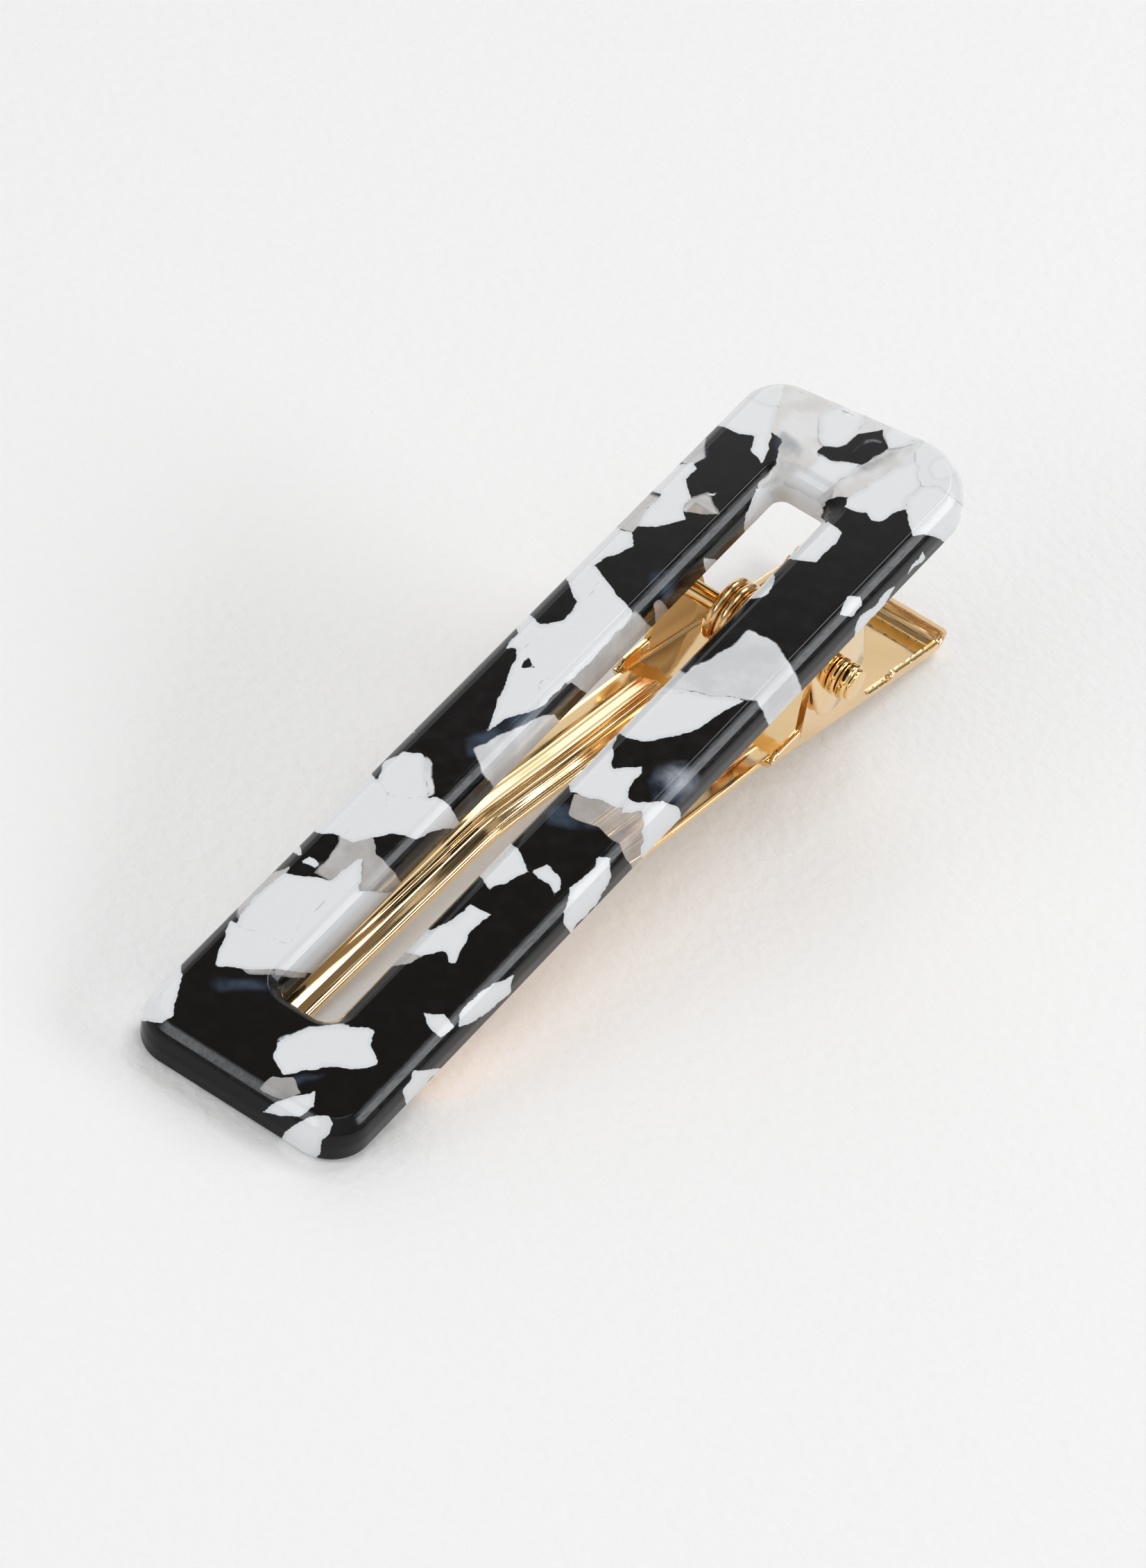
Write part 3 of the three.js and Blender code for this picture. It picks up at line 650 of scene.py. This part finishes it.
def rim_height(u):
    """How far the walls stand over the underside of the floor at u."""
    bottom = underside(u)
    if u < 57.5:
        return along([(56.4, 0.55), (56.6, 0.7), (57.5, -8.65 - underside(57.5))], u)
    if u < CHEEK_FRONT:
        return along([(57.5, -8.65), (CHEEK_FRONT, -9.0)], u) - bottom
    if u <= 65.4:
        return PIN_W + math.sqrt(max(0.0, CHEEK_RADIUS ** 2 - (u - PIN_U) ** 2)) - bottom
    return along([(65.4, PIN_W - underside(65.4)), (66.3, -5.9 - underside(66.3)), (69.3, 2.0),
                  (70.2, 1.1), (73.4, 1.1), (73.55, 1.35), (74.0, RIM), (82.0, RIM)], u)


def u_section(height):
    """Section across the box: (v from the clip's middle, height over the underside), right rim first."""
    height = max(height, BEND + 0.02)
    half, inside = JAW_HALF, JAW_HALF - SHEET
    edge = SHEARED_EDGE
    outer = [(half - edge, height), (half, height - edge)]
    outer += [(half, w) for w in np.linspace(max(height - 0.2, BEND), BEND, 6)]
    for k in range(1, 8):
        angle = math.pi / 2 * k / 8
        outer.append((half - BEND + BEND * math.cos(angle), BEND - BEND * math.sin(angle)))
    outer += [(v, 0.0) for v in np.linspace(half - BEND, 0.0, 8)]
    inner = [(v, SHEET) for v in np.linspace(0.0, inside - INNER_BEND, 8)]
    for k in range(1, 6):
        angle = math.pi / 2 * k / 6
        inner.append((inside - INNER_BEND + INNER_BEND * math.sin(angle),
                      SHEET + INNER_BEND * (1 - math.cos(angle))))
    start = SHEET + INNER_BEND
    inner += [(inside, w) for w in np.linspace(start, max(height - 0.1, start), 6)]
    inner += [(inside, height - edge), (inside + edge, height)]
    right_out = [(-v, w) for v, w in outer]
    left_out = outer[-2::-1]
    right_in = [(-v, w) for v, w in inner][1:]
    return right_out + left_out + inner[::-1] + right_in


def hump(share):
    """A smooth rise and fall over shares from 0 to 1, and nothing outside them."""
    return math.sin(math.pi * min(1.0, max(0.0, share)))


def trimmed(ring, bottom, u):
    """The lever's left side is cut a little narrower and lower than its right."""
    share = along([(67.0, 0.0), (74.0, 1.0)], u)
    out = []
    for x, y, w in ring:
        if y > CLIP_V:
            y -= LEFT_TRIM * share * min(1.0, (y - CLIP_V) / JAW_HALF)
            w -= 0.8 * share * max(0.0, w - bottom - 0.78)
        out.append((x, y, w))
    return out


def box_ring(u):
    """The jaw's section at u, with burrs on its low sheared rims and cheeks that swell a little inwards."""
    height = rim_height(u)
    if height < 1.9:
        height += BURR * noise.noise(Vector((u * 2.9, 0.0, 7.0)))
    bottom = underside(u)
    swell = CHEEK_SWELL * hump((u - 57.0) / 12.0) / JAW_HALF
    ring = [(u, CLIP_V + v * (1 - swell * hump(w / 6.0)), bottom + w) for v, w in u_section(height)]
    return trimmed(ring, bottom, u)


def lip_ring(foot, up, height):
    return [(foot[0] + up[0] * w, CLIP_V + v * (1 if v < 0 else LEFT_LIP), foot[1] + up[1] * w)
            for v, w in u_section(height)]


def lip_rings():
    """The lever's section rolled up round the heel into the rear lip."""
    floor_dir = unit(np.subtract(HEEL, BOX_FRONT))
    floor_up = np.array([-floor_dir[1], floor_dir[0]])
    lip_dir = unit(np.subtract(LIP_TOP, HEEL))
    turn = math.acos(float(floor_dir @ lip_dir))
    centre = np.array(HEEL) - floor_dir * LIP_ROLL * math.tan(turn / 2) + floor_up * LIP_ROLL
    rings = []
    for share in np.linspace(0, 1, 15):
        up = floor_up * math.cos(turn * share) - floor_dir * math.sin(turn * share)
        rings.append(lip_ring(centre - up * LIP_ROLL, up, RIM + (LIP_RIM - RIM) * share))
    for reach in (0.06, 0.12):
        rings.append(lip_ring(centre - up * LIP_ROLL + lip_dir * reach, up, LIP_RIM))
    return rings


def box_and_lever():
    """The rear half of the jaw: box floor, hinge cheeks, lever, its rims and the rolled rear lip."""
    stations = [
        *np.arange(56.45, CHEEK_FRONT, 0.25),
        *(CHEEK_FRONT + gap for gap in (-0.02, 0.005, 0.02, 0.05, 0.1)),
        *np.arange(CHEEK_FRONT + 0.2, 73.3, 0.2),
        73.4, 73.46, 73.55, 73.7, 73.85, 74.0,
        *np.arange(74.3, 79.9, 0.3),
    ]
    return loft([box_ring(u) for u in stations] + lip_rings(), cap_ends=True)


def painted_bounce_patches(points):
    """Where orange gold-on-gold bounce light is painted: in the box behind the prongs and at the foot of the
    rear lip.
    """
    u, v, w = points.T
    floor_top = np.interp(u, UNDERSIDE[:, 0], UNDERSIDE[:, 1]) + SHEET
    inside = (np.abs(v - CLIP_V) < JAW_HALF - 0.3) & (w > floor_top - 0.12)
    box = np.exp(-(((u - 58.4) / 1.5) ** 2))
    lip = np.exp(-(((u - 79.7) / 0.9) ** 2))
    return np.where(inside, np.maximum(box, lip), 0.0)


def lower_jaw(material):
    parts = [prong(-1), prong(1), box_and_lever()]
    points = np.concatenate([p[0] for p in parts])
    # Orange gold-on-gold bounce light is painted into the box and at the foot of the rear lip.
    add_piece("lower_jaw_pressing", parts, material, "jaw_assembly", ["lower_jaw"],
              {"painted_bounce": painted_bounce_patches(points)}, SHEET_SHARP)


# ---- ears, pin, washers and spring ----

TURN_SEGMENTS = 64
HEAD_RADIUS, BOSS_RADIUS, WASHER_BORE = 1.46, 1.25, 0.8
HEAD_EDGE, BOSS_EDGE = 0.22, 0.16
WASHER_SPAN = (7.49, 8.2)
HEAD_SPAN = (8.27, 9.02)
BOSS_END = 9.38


def slab(outline, v0, v1, edge=0.07):
    """A flat plate of sheet metal in the (u, w) plane, from v0 to v1, with softened edges."""
    outline = np.array(outline, float)
    ahead = np.roll(outline, -1, axis=0) - np.roll(outline, 1, axis=0)
    ahead /= np.linalg.norm(ahead, axis=1)[:, None]
    inward = np.column_stack([-ahead[:, 1], ahead[:, 0]])
    rings = []
    for inset, v in ((edge, v0), (edge * 0.3, v0 + edge * 0.3), (0, v0 + edge), (0, v1 - edge),
                     (edge * 0.3, v1 - edge * 0.3), (edge, v1)):
        flat = outline + inward * inset
        rings.append(np.column_stack([flat[:, 0], np.full(len(flat), v), flat[:, 1]]))
    return loft(rings, cap_ends=True)


def ear_outline():
    """Anticlockwise outline of an ear in (u, w): sloping sides and a round lower end."""
    centre, radius = np.array((64.2, -6.1)), 3.1
    arc = [centre + radius * np.array((math.cos(a), math.sin(a)))
           for a in np.radians(np.linspace(197, 355, 40))]
    left = between((FOOT_FRONT, FOOT_TOP), arc[0], 0.5)[:-1]
    right = between(arc[-1], (FOOT_REAR, FOOT_TOP), 0.5)[1:]
    roof = between((FOOT_REAR, FOOT_TOP), (FOOT_FRONT, FOOT_TOP), 0.5)[1:-1]
    return left + arc + right + roof


def ear_bracket(side, name, node, material):
    """A bent sheet: the foot in its pocket and the ear hanging from it."""
    ear_span = sorted((CLIP_V + side * EAR_INNER, CLIP_V + side * EAR_OUTER))
    foot_span = sorted((CLIP_V + side * EAR_OUTER, CLIP_V + side * (EAR_OUTER - FOOT_WIDTH)))
    low = FOOT_TOP - SHEET
    foot = [(FOOT_FRONT, low), (FOOT_REAR, low), (FOOT_REAR, FOOT_TOP), (FOOT_FRONT, FOOT_TOP)]
    parts = [slab(ear_outline(), *ear_span, 0.17), slab(dense_outline(foot, 0.4), *foot_span)]
    add_piece(name, parts, material, "frame_assembly", [node], sharp_degrees=SHEET_SHARP)


def pin_circle(radius, v):
    """A ring of points about the pin's line."""
    angles = [2 * math.pi * k / TURN_SEGMENTS for k in range(TURN_SEGMENTS)]
    return [(PIN_U + radius * math.cos(a), v, PIN_W + radius * math.sin(a)) for a in angles]


def turned_rim(radius, v0, v1, edge):
    """Profile of the outside of a short ring or head about the pin, from v0 to v1, with rounded rims."""
    arc = [(math.sin(a), math.cos(a)) for a in np.linspace(0, math.pi / 2, 5)]
    start = [(radius - edge + edge * s, v0 + edge - edge * c) for s, c in arc]
    end = [(radius - edge + edge * s, v1 - edge + edge * c) for s, c in reversed(arc)]
    return start + end


def turned(start_v, profile, end_v):
    """A solid turned about the pin's line from (radius, v) points, closed on the line at both ends."""
    points, faces = loft([pin_circle(radius, v) for radius, v in profile])
    first, last = len(points), len(points) + 1
    top = first - TURN_SEGMENTS
    for i in range(TURN_SEGMENTS):
        after = (i + 1) % TURN_SEGMENTS
        faces.append((first, after, i))
        faces.append((last, top + i, top + after))
    return np.concatenate([points, [(PIN_U, start_v, PIN_W), (PIN_U, end_v, PIN_W)]]), faces


def hinge_pin(material):
    """The shaft, a head outside each ear and a domed boss on the right head."""
    near, far = HEAD_SPAN
    right, left = CLIP_V - near, CLIP_V + near
    parts = [turned(right, [(PIN_RADIUS, right), (PIN_RADIUS, left)], left)]
    for low, high in ((CLIP_V - far, right), (left, CLIP_V + far)):
        parts.append(turned(low, turned_rim(HEAD_RADIUS, low, high, HEAD_EDGE), high))
    low, high = CLIP_V - BOSS_END, CLIP_V - far + 0.15
    dome = [(0.4, low + 0.01), (0.8, low + 0.045)]
    parts.append(turned(low, dome + turned_rim(BOSS_RADIUS, low + 0.05, high, BOSS_EDGE), high))
    add_piece("hinge_pin_turned", parts, material, "frame_assembly", ["hinge_pin"],
              sharp_degrees=SHEET_SHARP)


def pin_washer(side, name, node, material):
    low, high = sorted(CLIP_V + side * reach for reach in WASHER_SPAN)
    rim = turned_rim(HEAD_RADIUS, low, high, HEAD_EDGE)
    rings = [pin_circle(radius, v) for radius, v in [(WASHER_BORE, low)] + rim + [(WASHER_BORE, high)]]
    add_piece(name, [loft(rings + rings[:1])], material, "frame_assembly", [node])


def on_coil(angle, v):
    return (PIN_U + COIL_RADIUS * math.cos(angle), v, PIN_W + COIL_RADIUS * math.sin(angle))


def torsion_spring(material):
    """The coil with its upper leg stays with the frame; the lower leg rides on the jaw."""
    start = math.radians(100)
    end = start + math.radians(125) + 2 * math.pi * COIL_TURNS
    first_v, last_v = CLIP_V - COIL_HALF, CLIP_V + COIL_HALF
    coil = [on_coil(start + (end - start) * share, first_v + (last_v - first_v) * share)
            for share in np.linspace(0, 1, 48 * COIL_TURNS + 1)]
    upper = [(7.6 - 0.5 * k, 3.35 - 0.05 * k) for k in range(9)] + [(3.0, 2.83), (1.8, 2.61), (0.6, 2.39)]
    upper = [(PIN_U + u, first_v, PIN_W + w) for u, w in upper]
    add_piece("torsion_spring_coil", [tube(upper + coil, WIRE_RADIUS)], material, "frame_assembly",
              ["torsion_spring"])
    lower = [on_coil(end - math.radians(60) * (1 - k / 12), last_v) for k in range(13)]
    tip, back = np.array(lower[-1]), np.array((-math.sin(end), 0.0, math.cos(end)))
    lower += [tuple(tip + back * 0.5 * k) for k in range(1, 20)]
    add_piece("torsion_spring_lower_leg", [tube(lower, WIRE_RADIUS)], material, "jaw_assembly")


# ---- materials ----

class Nodes:
    """Short calls for building one material's node tree."""

    def __init__(self, name):
        self.material = bpy.data.materials.new(name)
        self.material.use_nodes = True
        self.tree = self.material.node_tree
        self.shader = self.tree.nodes["Principled BSDF"]
        self.coords = self.tree.nodes.new("ShaderNodeTexCoord").outputs["Object"]

    def link(self, value, socket):
        if isinstance(value, bpy.types.NodeSocket):
            self.tree.links.new(value, socket)
        else:
            socket.default_value = value

    def math(self, operation, a, b):
        node = self.tree.nodes.new("ShaderNodeMath")
        node.operation = operation
        self.link(a, node.inputs[0])
        self.link(b, node.inputs[1])
        return node.outputs[0]

    def attribute(self, name):
        node = self.tree.nodes.new("ShaderNodeAttribute")
        node.attribute_name = name
        return node.outputs["Fac"]

    def stretched(self, scale):
        node = self.tree.nodes.new("ShaderNodeMapping")
        self.link(self.coords, node.inputs["Vector"])
        node.inputs["Scale"].default_value = scale
        return node.outputs[0]

    def noise(self, scale, detail, vector=None):
        node = self.tree.nodes.new("ShaderNodeTexNoise")
        self.link(vector or self.coords, node.inputs["Vector"])
        node.inputs["Scale"].default_value = scale
        node.inputs["Detail"].default_value = detail
        return node.outputs["Fac"]

    def ramp(self, value, low, high, out_low=0.0, out_high=1.0):
        node = self.tree.nodes.new("ShaderNodeMapRange")
        node.interpolation_type = "SMOOTHSTEP"
        self.link(value, node.inputs["Value"])
        for key, number in (("From Min", low), ("From Max", high), ("To Min", out_low), ("To Max", out_high)):
            node.inputs[key].default_value = number
        return node.outputs[0]

    def mix(self, factor, a, b):
        node = self.tree.nodes.new("ShaderNodeMix")
        node.data_type = "RGBA"
        self.link(factor, node.inputs[0])
        self.link(a, node.inputs[6])
        self.link(b, node.inputs[7])
        return node.outputs[2]

    def bump(self, height, strength, distance):
        node = self.tree.nodes.new("ShaderNodeBump")
        node.inputs["Strength"].default_value = strength
        node.inputs["Distance"].default_value = distance
        self.link(height, node.inputs["Height"])
        self.link(node.outputs[0], self.shader.inputs["Normal"])

    def set(self, name, value):
        self.link(value, self.shader.inputs[name])


def colour(hex_code):
    """A linear colour from an sRGB hex code."""
    parts = [int(hex_code[i:i + 2], 16) / 255 for i in (0, 2, 4)]
    return tuple(c / 12.92 if c <= 0.04045 else ((c + 0.055) / 1.055) ** 2.4 for c in parts) + (1.0,)


def acetate_tint(n, cloud, clear, milk, white, black):
    """The chips' colours laid over one another, from the dark base up."""
    rear = n.attribute("rear")
    smoke_and_painted_shade = n.math("MULTIPLY", n.ramp(n.attribute("smoke_and_painted_shade"), -0.25, 0.5), n.ramp(cloud, 0.25, 0.6))
    tint = n.mix(smoke_and_painted_shade, colour("101011"), colour("3a4656"))
    clear_tint = n.mix(n.ramp(cloud, 0.3, 0.7), colour("b1aca8"), colour("d2d0cf"))
    rear_clear = n.mix(n.ramp(cloud, 0.35, 0.65), colour("d8d4d1"), colour("eaeaec"))
    clear_tint = n.mix(rear, clear_tint, rear_clear)
    # In the clear rear bar the smoke chips take the dark grey 8e9297, which is painted shade seen through the
    # acetate.
    tint = n.mix(clear, tint, n.mix(n.math("MULTIPLY", smoke_and_painted_shade, rear), clear_tint, colour("8e9297")))
    milk_tint = n.mix(n.ramp(cloud, 0.35, 0.7), colour("c5c6c8"), colour("d5d6d8"))
    tint = n.mix(milk, tint, n.mix(rear, milk_tint, colour("dee0e1")))
    white_tint = n.mix(n.ramp(n.attribute("white"), 0.0, 0.45), colour("d0d4d7"), colour("dbdcde"))
    faint = n.mix(n.ramp(n.noise(900, 3.0), 0.4, 0.6), white_tint, colour("c2c1c1"))
    tint = n.mix(white, tint, n.mix(n.ramp(n.attribute("crack"), 0.03, 0.09), faint, white_tint))
    tint = n.mix(black, tint, colour("121214"))
    # The pearly spots and the painted glint highlights both get the pale blue-grey aeb1b8.
    pearl_and_painted_glint = n.math("MULTIPLY", n.ramp(n.attribute("pearl_and_painted_glint"), -0.2, 1.4), n.ramp(cloud, 0.3, 0.75))
    return n.mix(n.attribute("frost"), n.mix(pearl_and_painted_glint, tint, colour("aeb1b8")), colour("f4f5f6"))


def acetate_material():
    n = Nodes("mottled_acetate")
    ragged = n.math("MULTIPLY", n.math("SUBTRACT", n.noise(2600, 3.0), 0.5), 0.22)

    def mask(name, softness):
        return n.ramp(n.math("ADD", n.attribute(name), ragged), -softness, softness)

    clear, milk = mask("clear", 0.05), mask("milk", 0.09)
    white, black = mask("white", 0.035), mask("black", 0.04)
    n.set("Base Color", acetate_tint(n, n.noise(420, 4.0), clear, milk, white, black))
    solid = n.math("MAXIMUM", white, n.math("MAXIMUM", black, n.math("SUBTRACT", 1.0, clear)))
    cloudy = n.math("MAXIMUM", n.math("MULTIPLY", milk, 0.85), n.math("MULTIPLY", n.attribute("frost"), 0.8))
    solid = n.math("MAXIMUM", solid, cloudy)
    n.set("Alpha", n.math("ADD", n.math("MULTIPLY", solid, 0.5), 0.5))
    tumbled = n.ramp(n.noise(1.0, 3.0, n.stretched((900.0, 5200.0, 5200.0))), 0.35, 0.75, 0.08, 0.2)
    polished = n.ramp(n.noise(900, 3.0), 0.3, 0.8, 0.05, 0.12)
    n.set("Roughness", n.math("ADD", n.math("MULTIPLY", n.attribute("side"), tumbled), polished))
    n.set("IOR", 1.49)
    n.set("Specular IOR Level", 0.26)
    n.bump(n.noise(260, 2.0), 0.05, 0.0001)
    return n.material


# Orange for random amber patches in the plating, and for bounce light painted into the jaw's hollows.
AMBER_AND_PAINTED_BOUNCE = (0.84, 0.42, 0.08, 1.0)


def gold_material(name, tint, low, high, scratch):
    """Polished plating: faint hairlines along the clip, handling haze, random amber patches and orange bounce
    light painted into the jaw's hollows, an uneven surface.
    """
    n = Nodes(name)
    hairlines = n.noise(1.0, 3.0, n.stretched((160.0, 5200.0, 2600.0)))
    haze = n.noise(240, 4.0)
    shade = n.mix(n.ramp(haze, 0.3, 0.8), tint, tuple(c * 0.93 for c in tint[:3]) + (1.0,))
    spots = n.math("MULTIPLY", n.math("SUBTRACT", n.noise(1500, 3.0), 0.5), 0.9)
    # Random amber patches, plus orange bounce light painted where the jaw marks it.
    patches_and_painted_bounce = n.math("ADD", n.attribute("painted_bounce"), spots)
    n.set("Base Color", n.mix(n.ramp(patches_and_painted_bounce, 0.35, 0.75), shade, AMBER_AND_PAINTED_BOUNCE))
    n.set("Metallic", 1.0)
    matt = n.math("ADD", n.ramp(haze, 0.25, 0.8, low, high), n.ramp(patches_and_painted_bounce, 0.3, 0.8, 0.0, 0.26))
    n.set("Roughness", n.math("ADD", matt, n.ramp(hairlines, 0.62, 0.8, 0.0, 0.12)))
    n.bump(n.math("ADD", n.math("MULTIPLY", hairlines, scratch), n.noise(600, 2.0)), 0.05, 0.00002)
    return n.material


# ---- stage ----

FLOOR_HALF = 3.0
COOL_WHITE = (0.95, 0.975, 1.0)
WARM_GOLD = (1.0, 0.62, 0.38)
# Soft boxes: name, direction from the clip, distance, size and power.
SOFT_BOXES = [
    ("box_right_rear", (0.50, -0.76, 0.44), 0.9, (0.7, 0.22), 3.7),
    ("box_front_left", (-0.87, 0.30, 0.40), 0.9, (0.6, 0.22), 2.6),
    ("box_overhead", (-0.15, -0.25, 0.95), 1.0, (0.5, 0.5), 1.6),
    ("box_rear_high", (0.53, 0.0, 0.85), 1.0, (0.34, 0.34), 2.0),
]
# Brightness of the room by compass angle (degrees about +Z from +X), in its band of lit walls.
ROOM_LEVELS = [(-180, 0.75), (-100, 0.45), (-82, 0.3), (-30, 0.16), (-22, 0.5), (-14, 0.16), (2, 0.2),
               (9, 0.7), (24, 0.8), (29, 2.4), (46, 2.4), (56, 0.8), (76, 0.6), (120, 0.45), (180, 0.75)]
# How much of that band shows at each height, as the upward part of the direction looked in.
WALL_BAND = [(0.0, 0.15), (0.12, 0.2), (0.2, 1.0), (0.825, 1.0), (0.865, 0.0)]
CEILING = (0.22, 0.185, 0.145)
ROOM_STRENGTH = 3.0
# The view: degrees, metres and millimetres.
CAMERA_AZIMUTH, CAMERA_ELEVATION, CAMERA_ROLL = -67.77, 37.56, 17.32
CAMERA_DISTANCE, CAMERA_LENS = 0.6435, 209.8
CAMERA_AIM = (-0.00254, -0.00014, -0.00314)


def paper_floor():
    corners = [(x * FLOOR_HALF, y * FLOOR_HALF, 0) for x, y in ((-1, -1), (1, -1), (1, 1), (-1, 1))]
    mesh = bpy.data.meshes.new("paper_floor")
    mesh.from_pydata(corners, [], [(0, 1, 2, 3)])
    n = Nodes("white_paper")
    n.set("Base Color", n.mix(n.noise(900, 4.0), (0.70, 0.70, 0.70, 1), (0.72, 0.72, 0.72, 1)))
    n.set("Roughness", 0.9)
    n.set("Specular IOR Level", 0.1)
    n.set("Emission Color", (1.0, 1.0, 1.0, 1))
    n.set("Emission Strength", 0.125)
    n.bump(n.noise(1000, 4.0), 0.5, 0.0003)
    mesh.materials.append(n.material)
    floor = bpy.data.objects.new("paper_floor", mesh)
    bpy.context.scene.collection.objects.link(floor)


def area_light(name, direction, distance, size, power, tint=COOL_WHITE, centre=(0, 0, 0)):
    """A soft box aimed at a centre from a direction in the row frame."""
    lamp = bpy.data.lights.new(name, "AREA")
    lamp.shape = "RECTANGLE"
    lamp.size, lamp.size_y = size
    lamp.energy = power
    lamp.color = tint
    light = bpy.data.objects.new(name, lamp)
    aim = Vector(direction).normalized()
    light.location = Vector(centre) + aim * distance
    light.rotation_mode = "QUATERNION"
    light.rotation_quaternion = aim.to_track_quat("Z", "Y")
    bpy.context.scene.collection.objects.link(light)
    return light


def gold_bounce():
    """Warm light that the plating throws on the paper along the right bar."""
    under_right_bar = CLIP_TO_ROW @ Vector((34, -8.3, -0.6))
    aim = Vector((0, 0.5, 0.86))
    light = area_light("gold_bounce", aim, 0.0, (0.046, 0.003), 0.0004, WARM_GOLD, under_right_bar)
    along_bar = (CLIP_TO_ROW.to_3x3() @ Vector((1, 0, 0))).normalized()
    away = (aim - along_bar * aim.dot(along_bar)).normalized()
    axes = Matrix((along_bar, away.cross(along_bar), away)).transposed()
    light.rotation_quaternion = axes.to_quaternion()
    light.visible_camera = False


def warmth(level):
    """The dim parts of the room are warm, the bright panels neutral."""
    bright = min(1.0, max(0.0, (level - 0.05) / 0.07))
    return (1.0, 0.80 + 0.2 * bright, 0.56 + 0.44 * bright)


def add_ramp(tree, value, stops):
    """A colour ramp from (position, level) stops."""
    ramp = tree.nodes.new("ShaderNodeValToRGB")
    tree.links.new(value, ramp.inputs[0])
    while len(ramp.color_ramp.elements) < len(stops):
        ramp.color_ramp.elements.new(0.5)
    for element, (position, level) in zip(ramp.color_ramp.elements, stops):
        element.position = position
        element.color = tuple(level * share for share in warmth(level)) + (1,)
    return ramp.outputs[0]


def room():
    """The studio's walls and ceiling, as brightness by direction."""
    world = bpy.data.worlds.new("studio")
    bpy.context.scene.world = world
    world.use_nodes = True
    tree = world.node_tree
    split = tree.nodes.new("ShaderNodeSeparateXYZ")
    tree.links.new(tree.nodes.new("ShaderNodeTexCoord").outputs["Generated"], split.inputs[0])
    compass = tree.nodes.new("ShaderNodeMath")
    compass.operation = "ARCTAN2"
    tree.links.new(split.outputs["Y"], compass.inputs[0])
    tree.links.new(split.outputs["X"], compass.inputs[1])
    turn = tree.nodes.new("ShaderNodeMapRange")
    turn.inputs["From Min"].default_value = -math.pi
    turn.inputs["From Max"].default_value = math.pi
    tree.links.new(compass.outputs[0], turn.inputs["Value"])
    levels = [((angle + 180) / 360, level / ROOM_STRENGTH) for angle, level in ROOM_LEVELS]
    walls = tree.nodes.new("ShaderNodeMix")
    walls.data_type = "RGBA"
    tree.links.new(add_ramp(tree, split.outputs["Z"], WALL_BAND), walls.inputs[0])
    walls.inputs[6].default_value = tuple(c / ROOM_STRENGTH for c in CEILING) + (1,)
    tree.links.new(add_ramp(tree, turn.outputs[0], levels), walls.inputs[7])
    tree.links.new(walls.outputs[2], tree.nodes["Background"].inputs["Color"])
    tree.nodes["Background"].inputs["Strength"].default_value = ROOM_STRENGTH


def photo_camera():
    camera = bpy.data.objects.new("camera", bpy.data.cameras.new("camera"))
    bpy.context.scene.collection.objects.link(camera)
    azimuth, elevation = math.radians(CAMERA_AZIMUTH), math.radians(CAMERA_ELEVATION)
    back = Vector((math.sin(azimuth) * math.cos(elevation), -math.cos(azimuth) * math.cos(elevation),
                   math.sin(elevation)))
    roll = Matrix.Rotation(math.radians(CAMERA_ROLL), 3, "Z").to_quaternion()
    camera.location = (cad_low + cad_high) / 2 + Vector(CAMERA_AIM) + back * CAMERA_DISTANCE
    camera.rotation_mode = "QUATERNION"
    camera.rotation_quaternion = back.to_track_quat("Z", "Y") @ roll
    camera.data.sensor_width = 36.0
    camera.data.lens = CAMERA_LENS
    camera.data.clip_start, camera.data.clip_end = 0.01, 20.0
    bpy.context.scene.camera = camera


photo_camera()
paper_floor()
room()
for box in SOFT_BOXES:
    area_light(*box)
gold_bounce()
bpy.context.scene.view_settings.view_transform = "Standard"

acetate = acetate_material()
sheet_gold = gold_material("gold_plated_sheet", (0.95, 0.685, 0.37, 1), 0.08, 0.16, 1.2)
pin_gold = gold_material("gold_plated_pin", (0.93, 0.65, 0.31, 1), 0.07, 0.14, 0.6)
wire_gold = gold_material("gold_plated_wire", (0.80, 0.54, 0.27, 1), 0.1, 0.2, 0.8)

acetate_frame(acetate)
lower_jaw(sheet_gold)
ear_bracket(-1, "right_ear_sheet", "right_ear_bracket", sheet_gold)
ear_bracket(1, "left_ear_sheet", "left_ear_bracket", sheet_gold)
hinge_pin(pin_gold)
pin_washer(-1, "right_washer_ring", "right_pin_washer", pin_gold)
pin_washer(1, "left_washer_ring", "left_pin_washer", pin_gold)
torsion_spring(wire_gold)
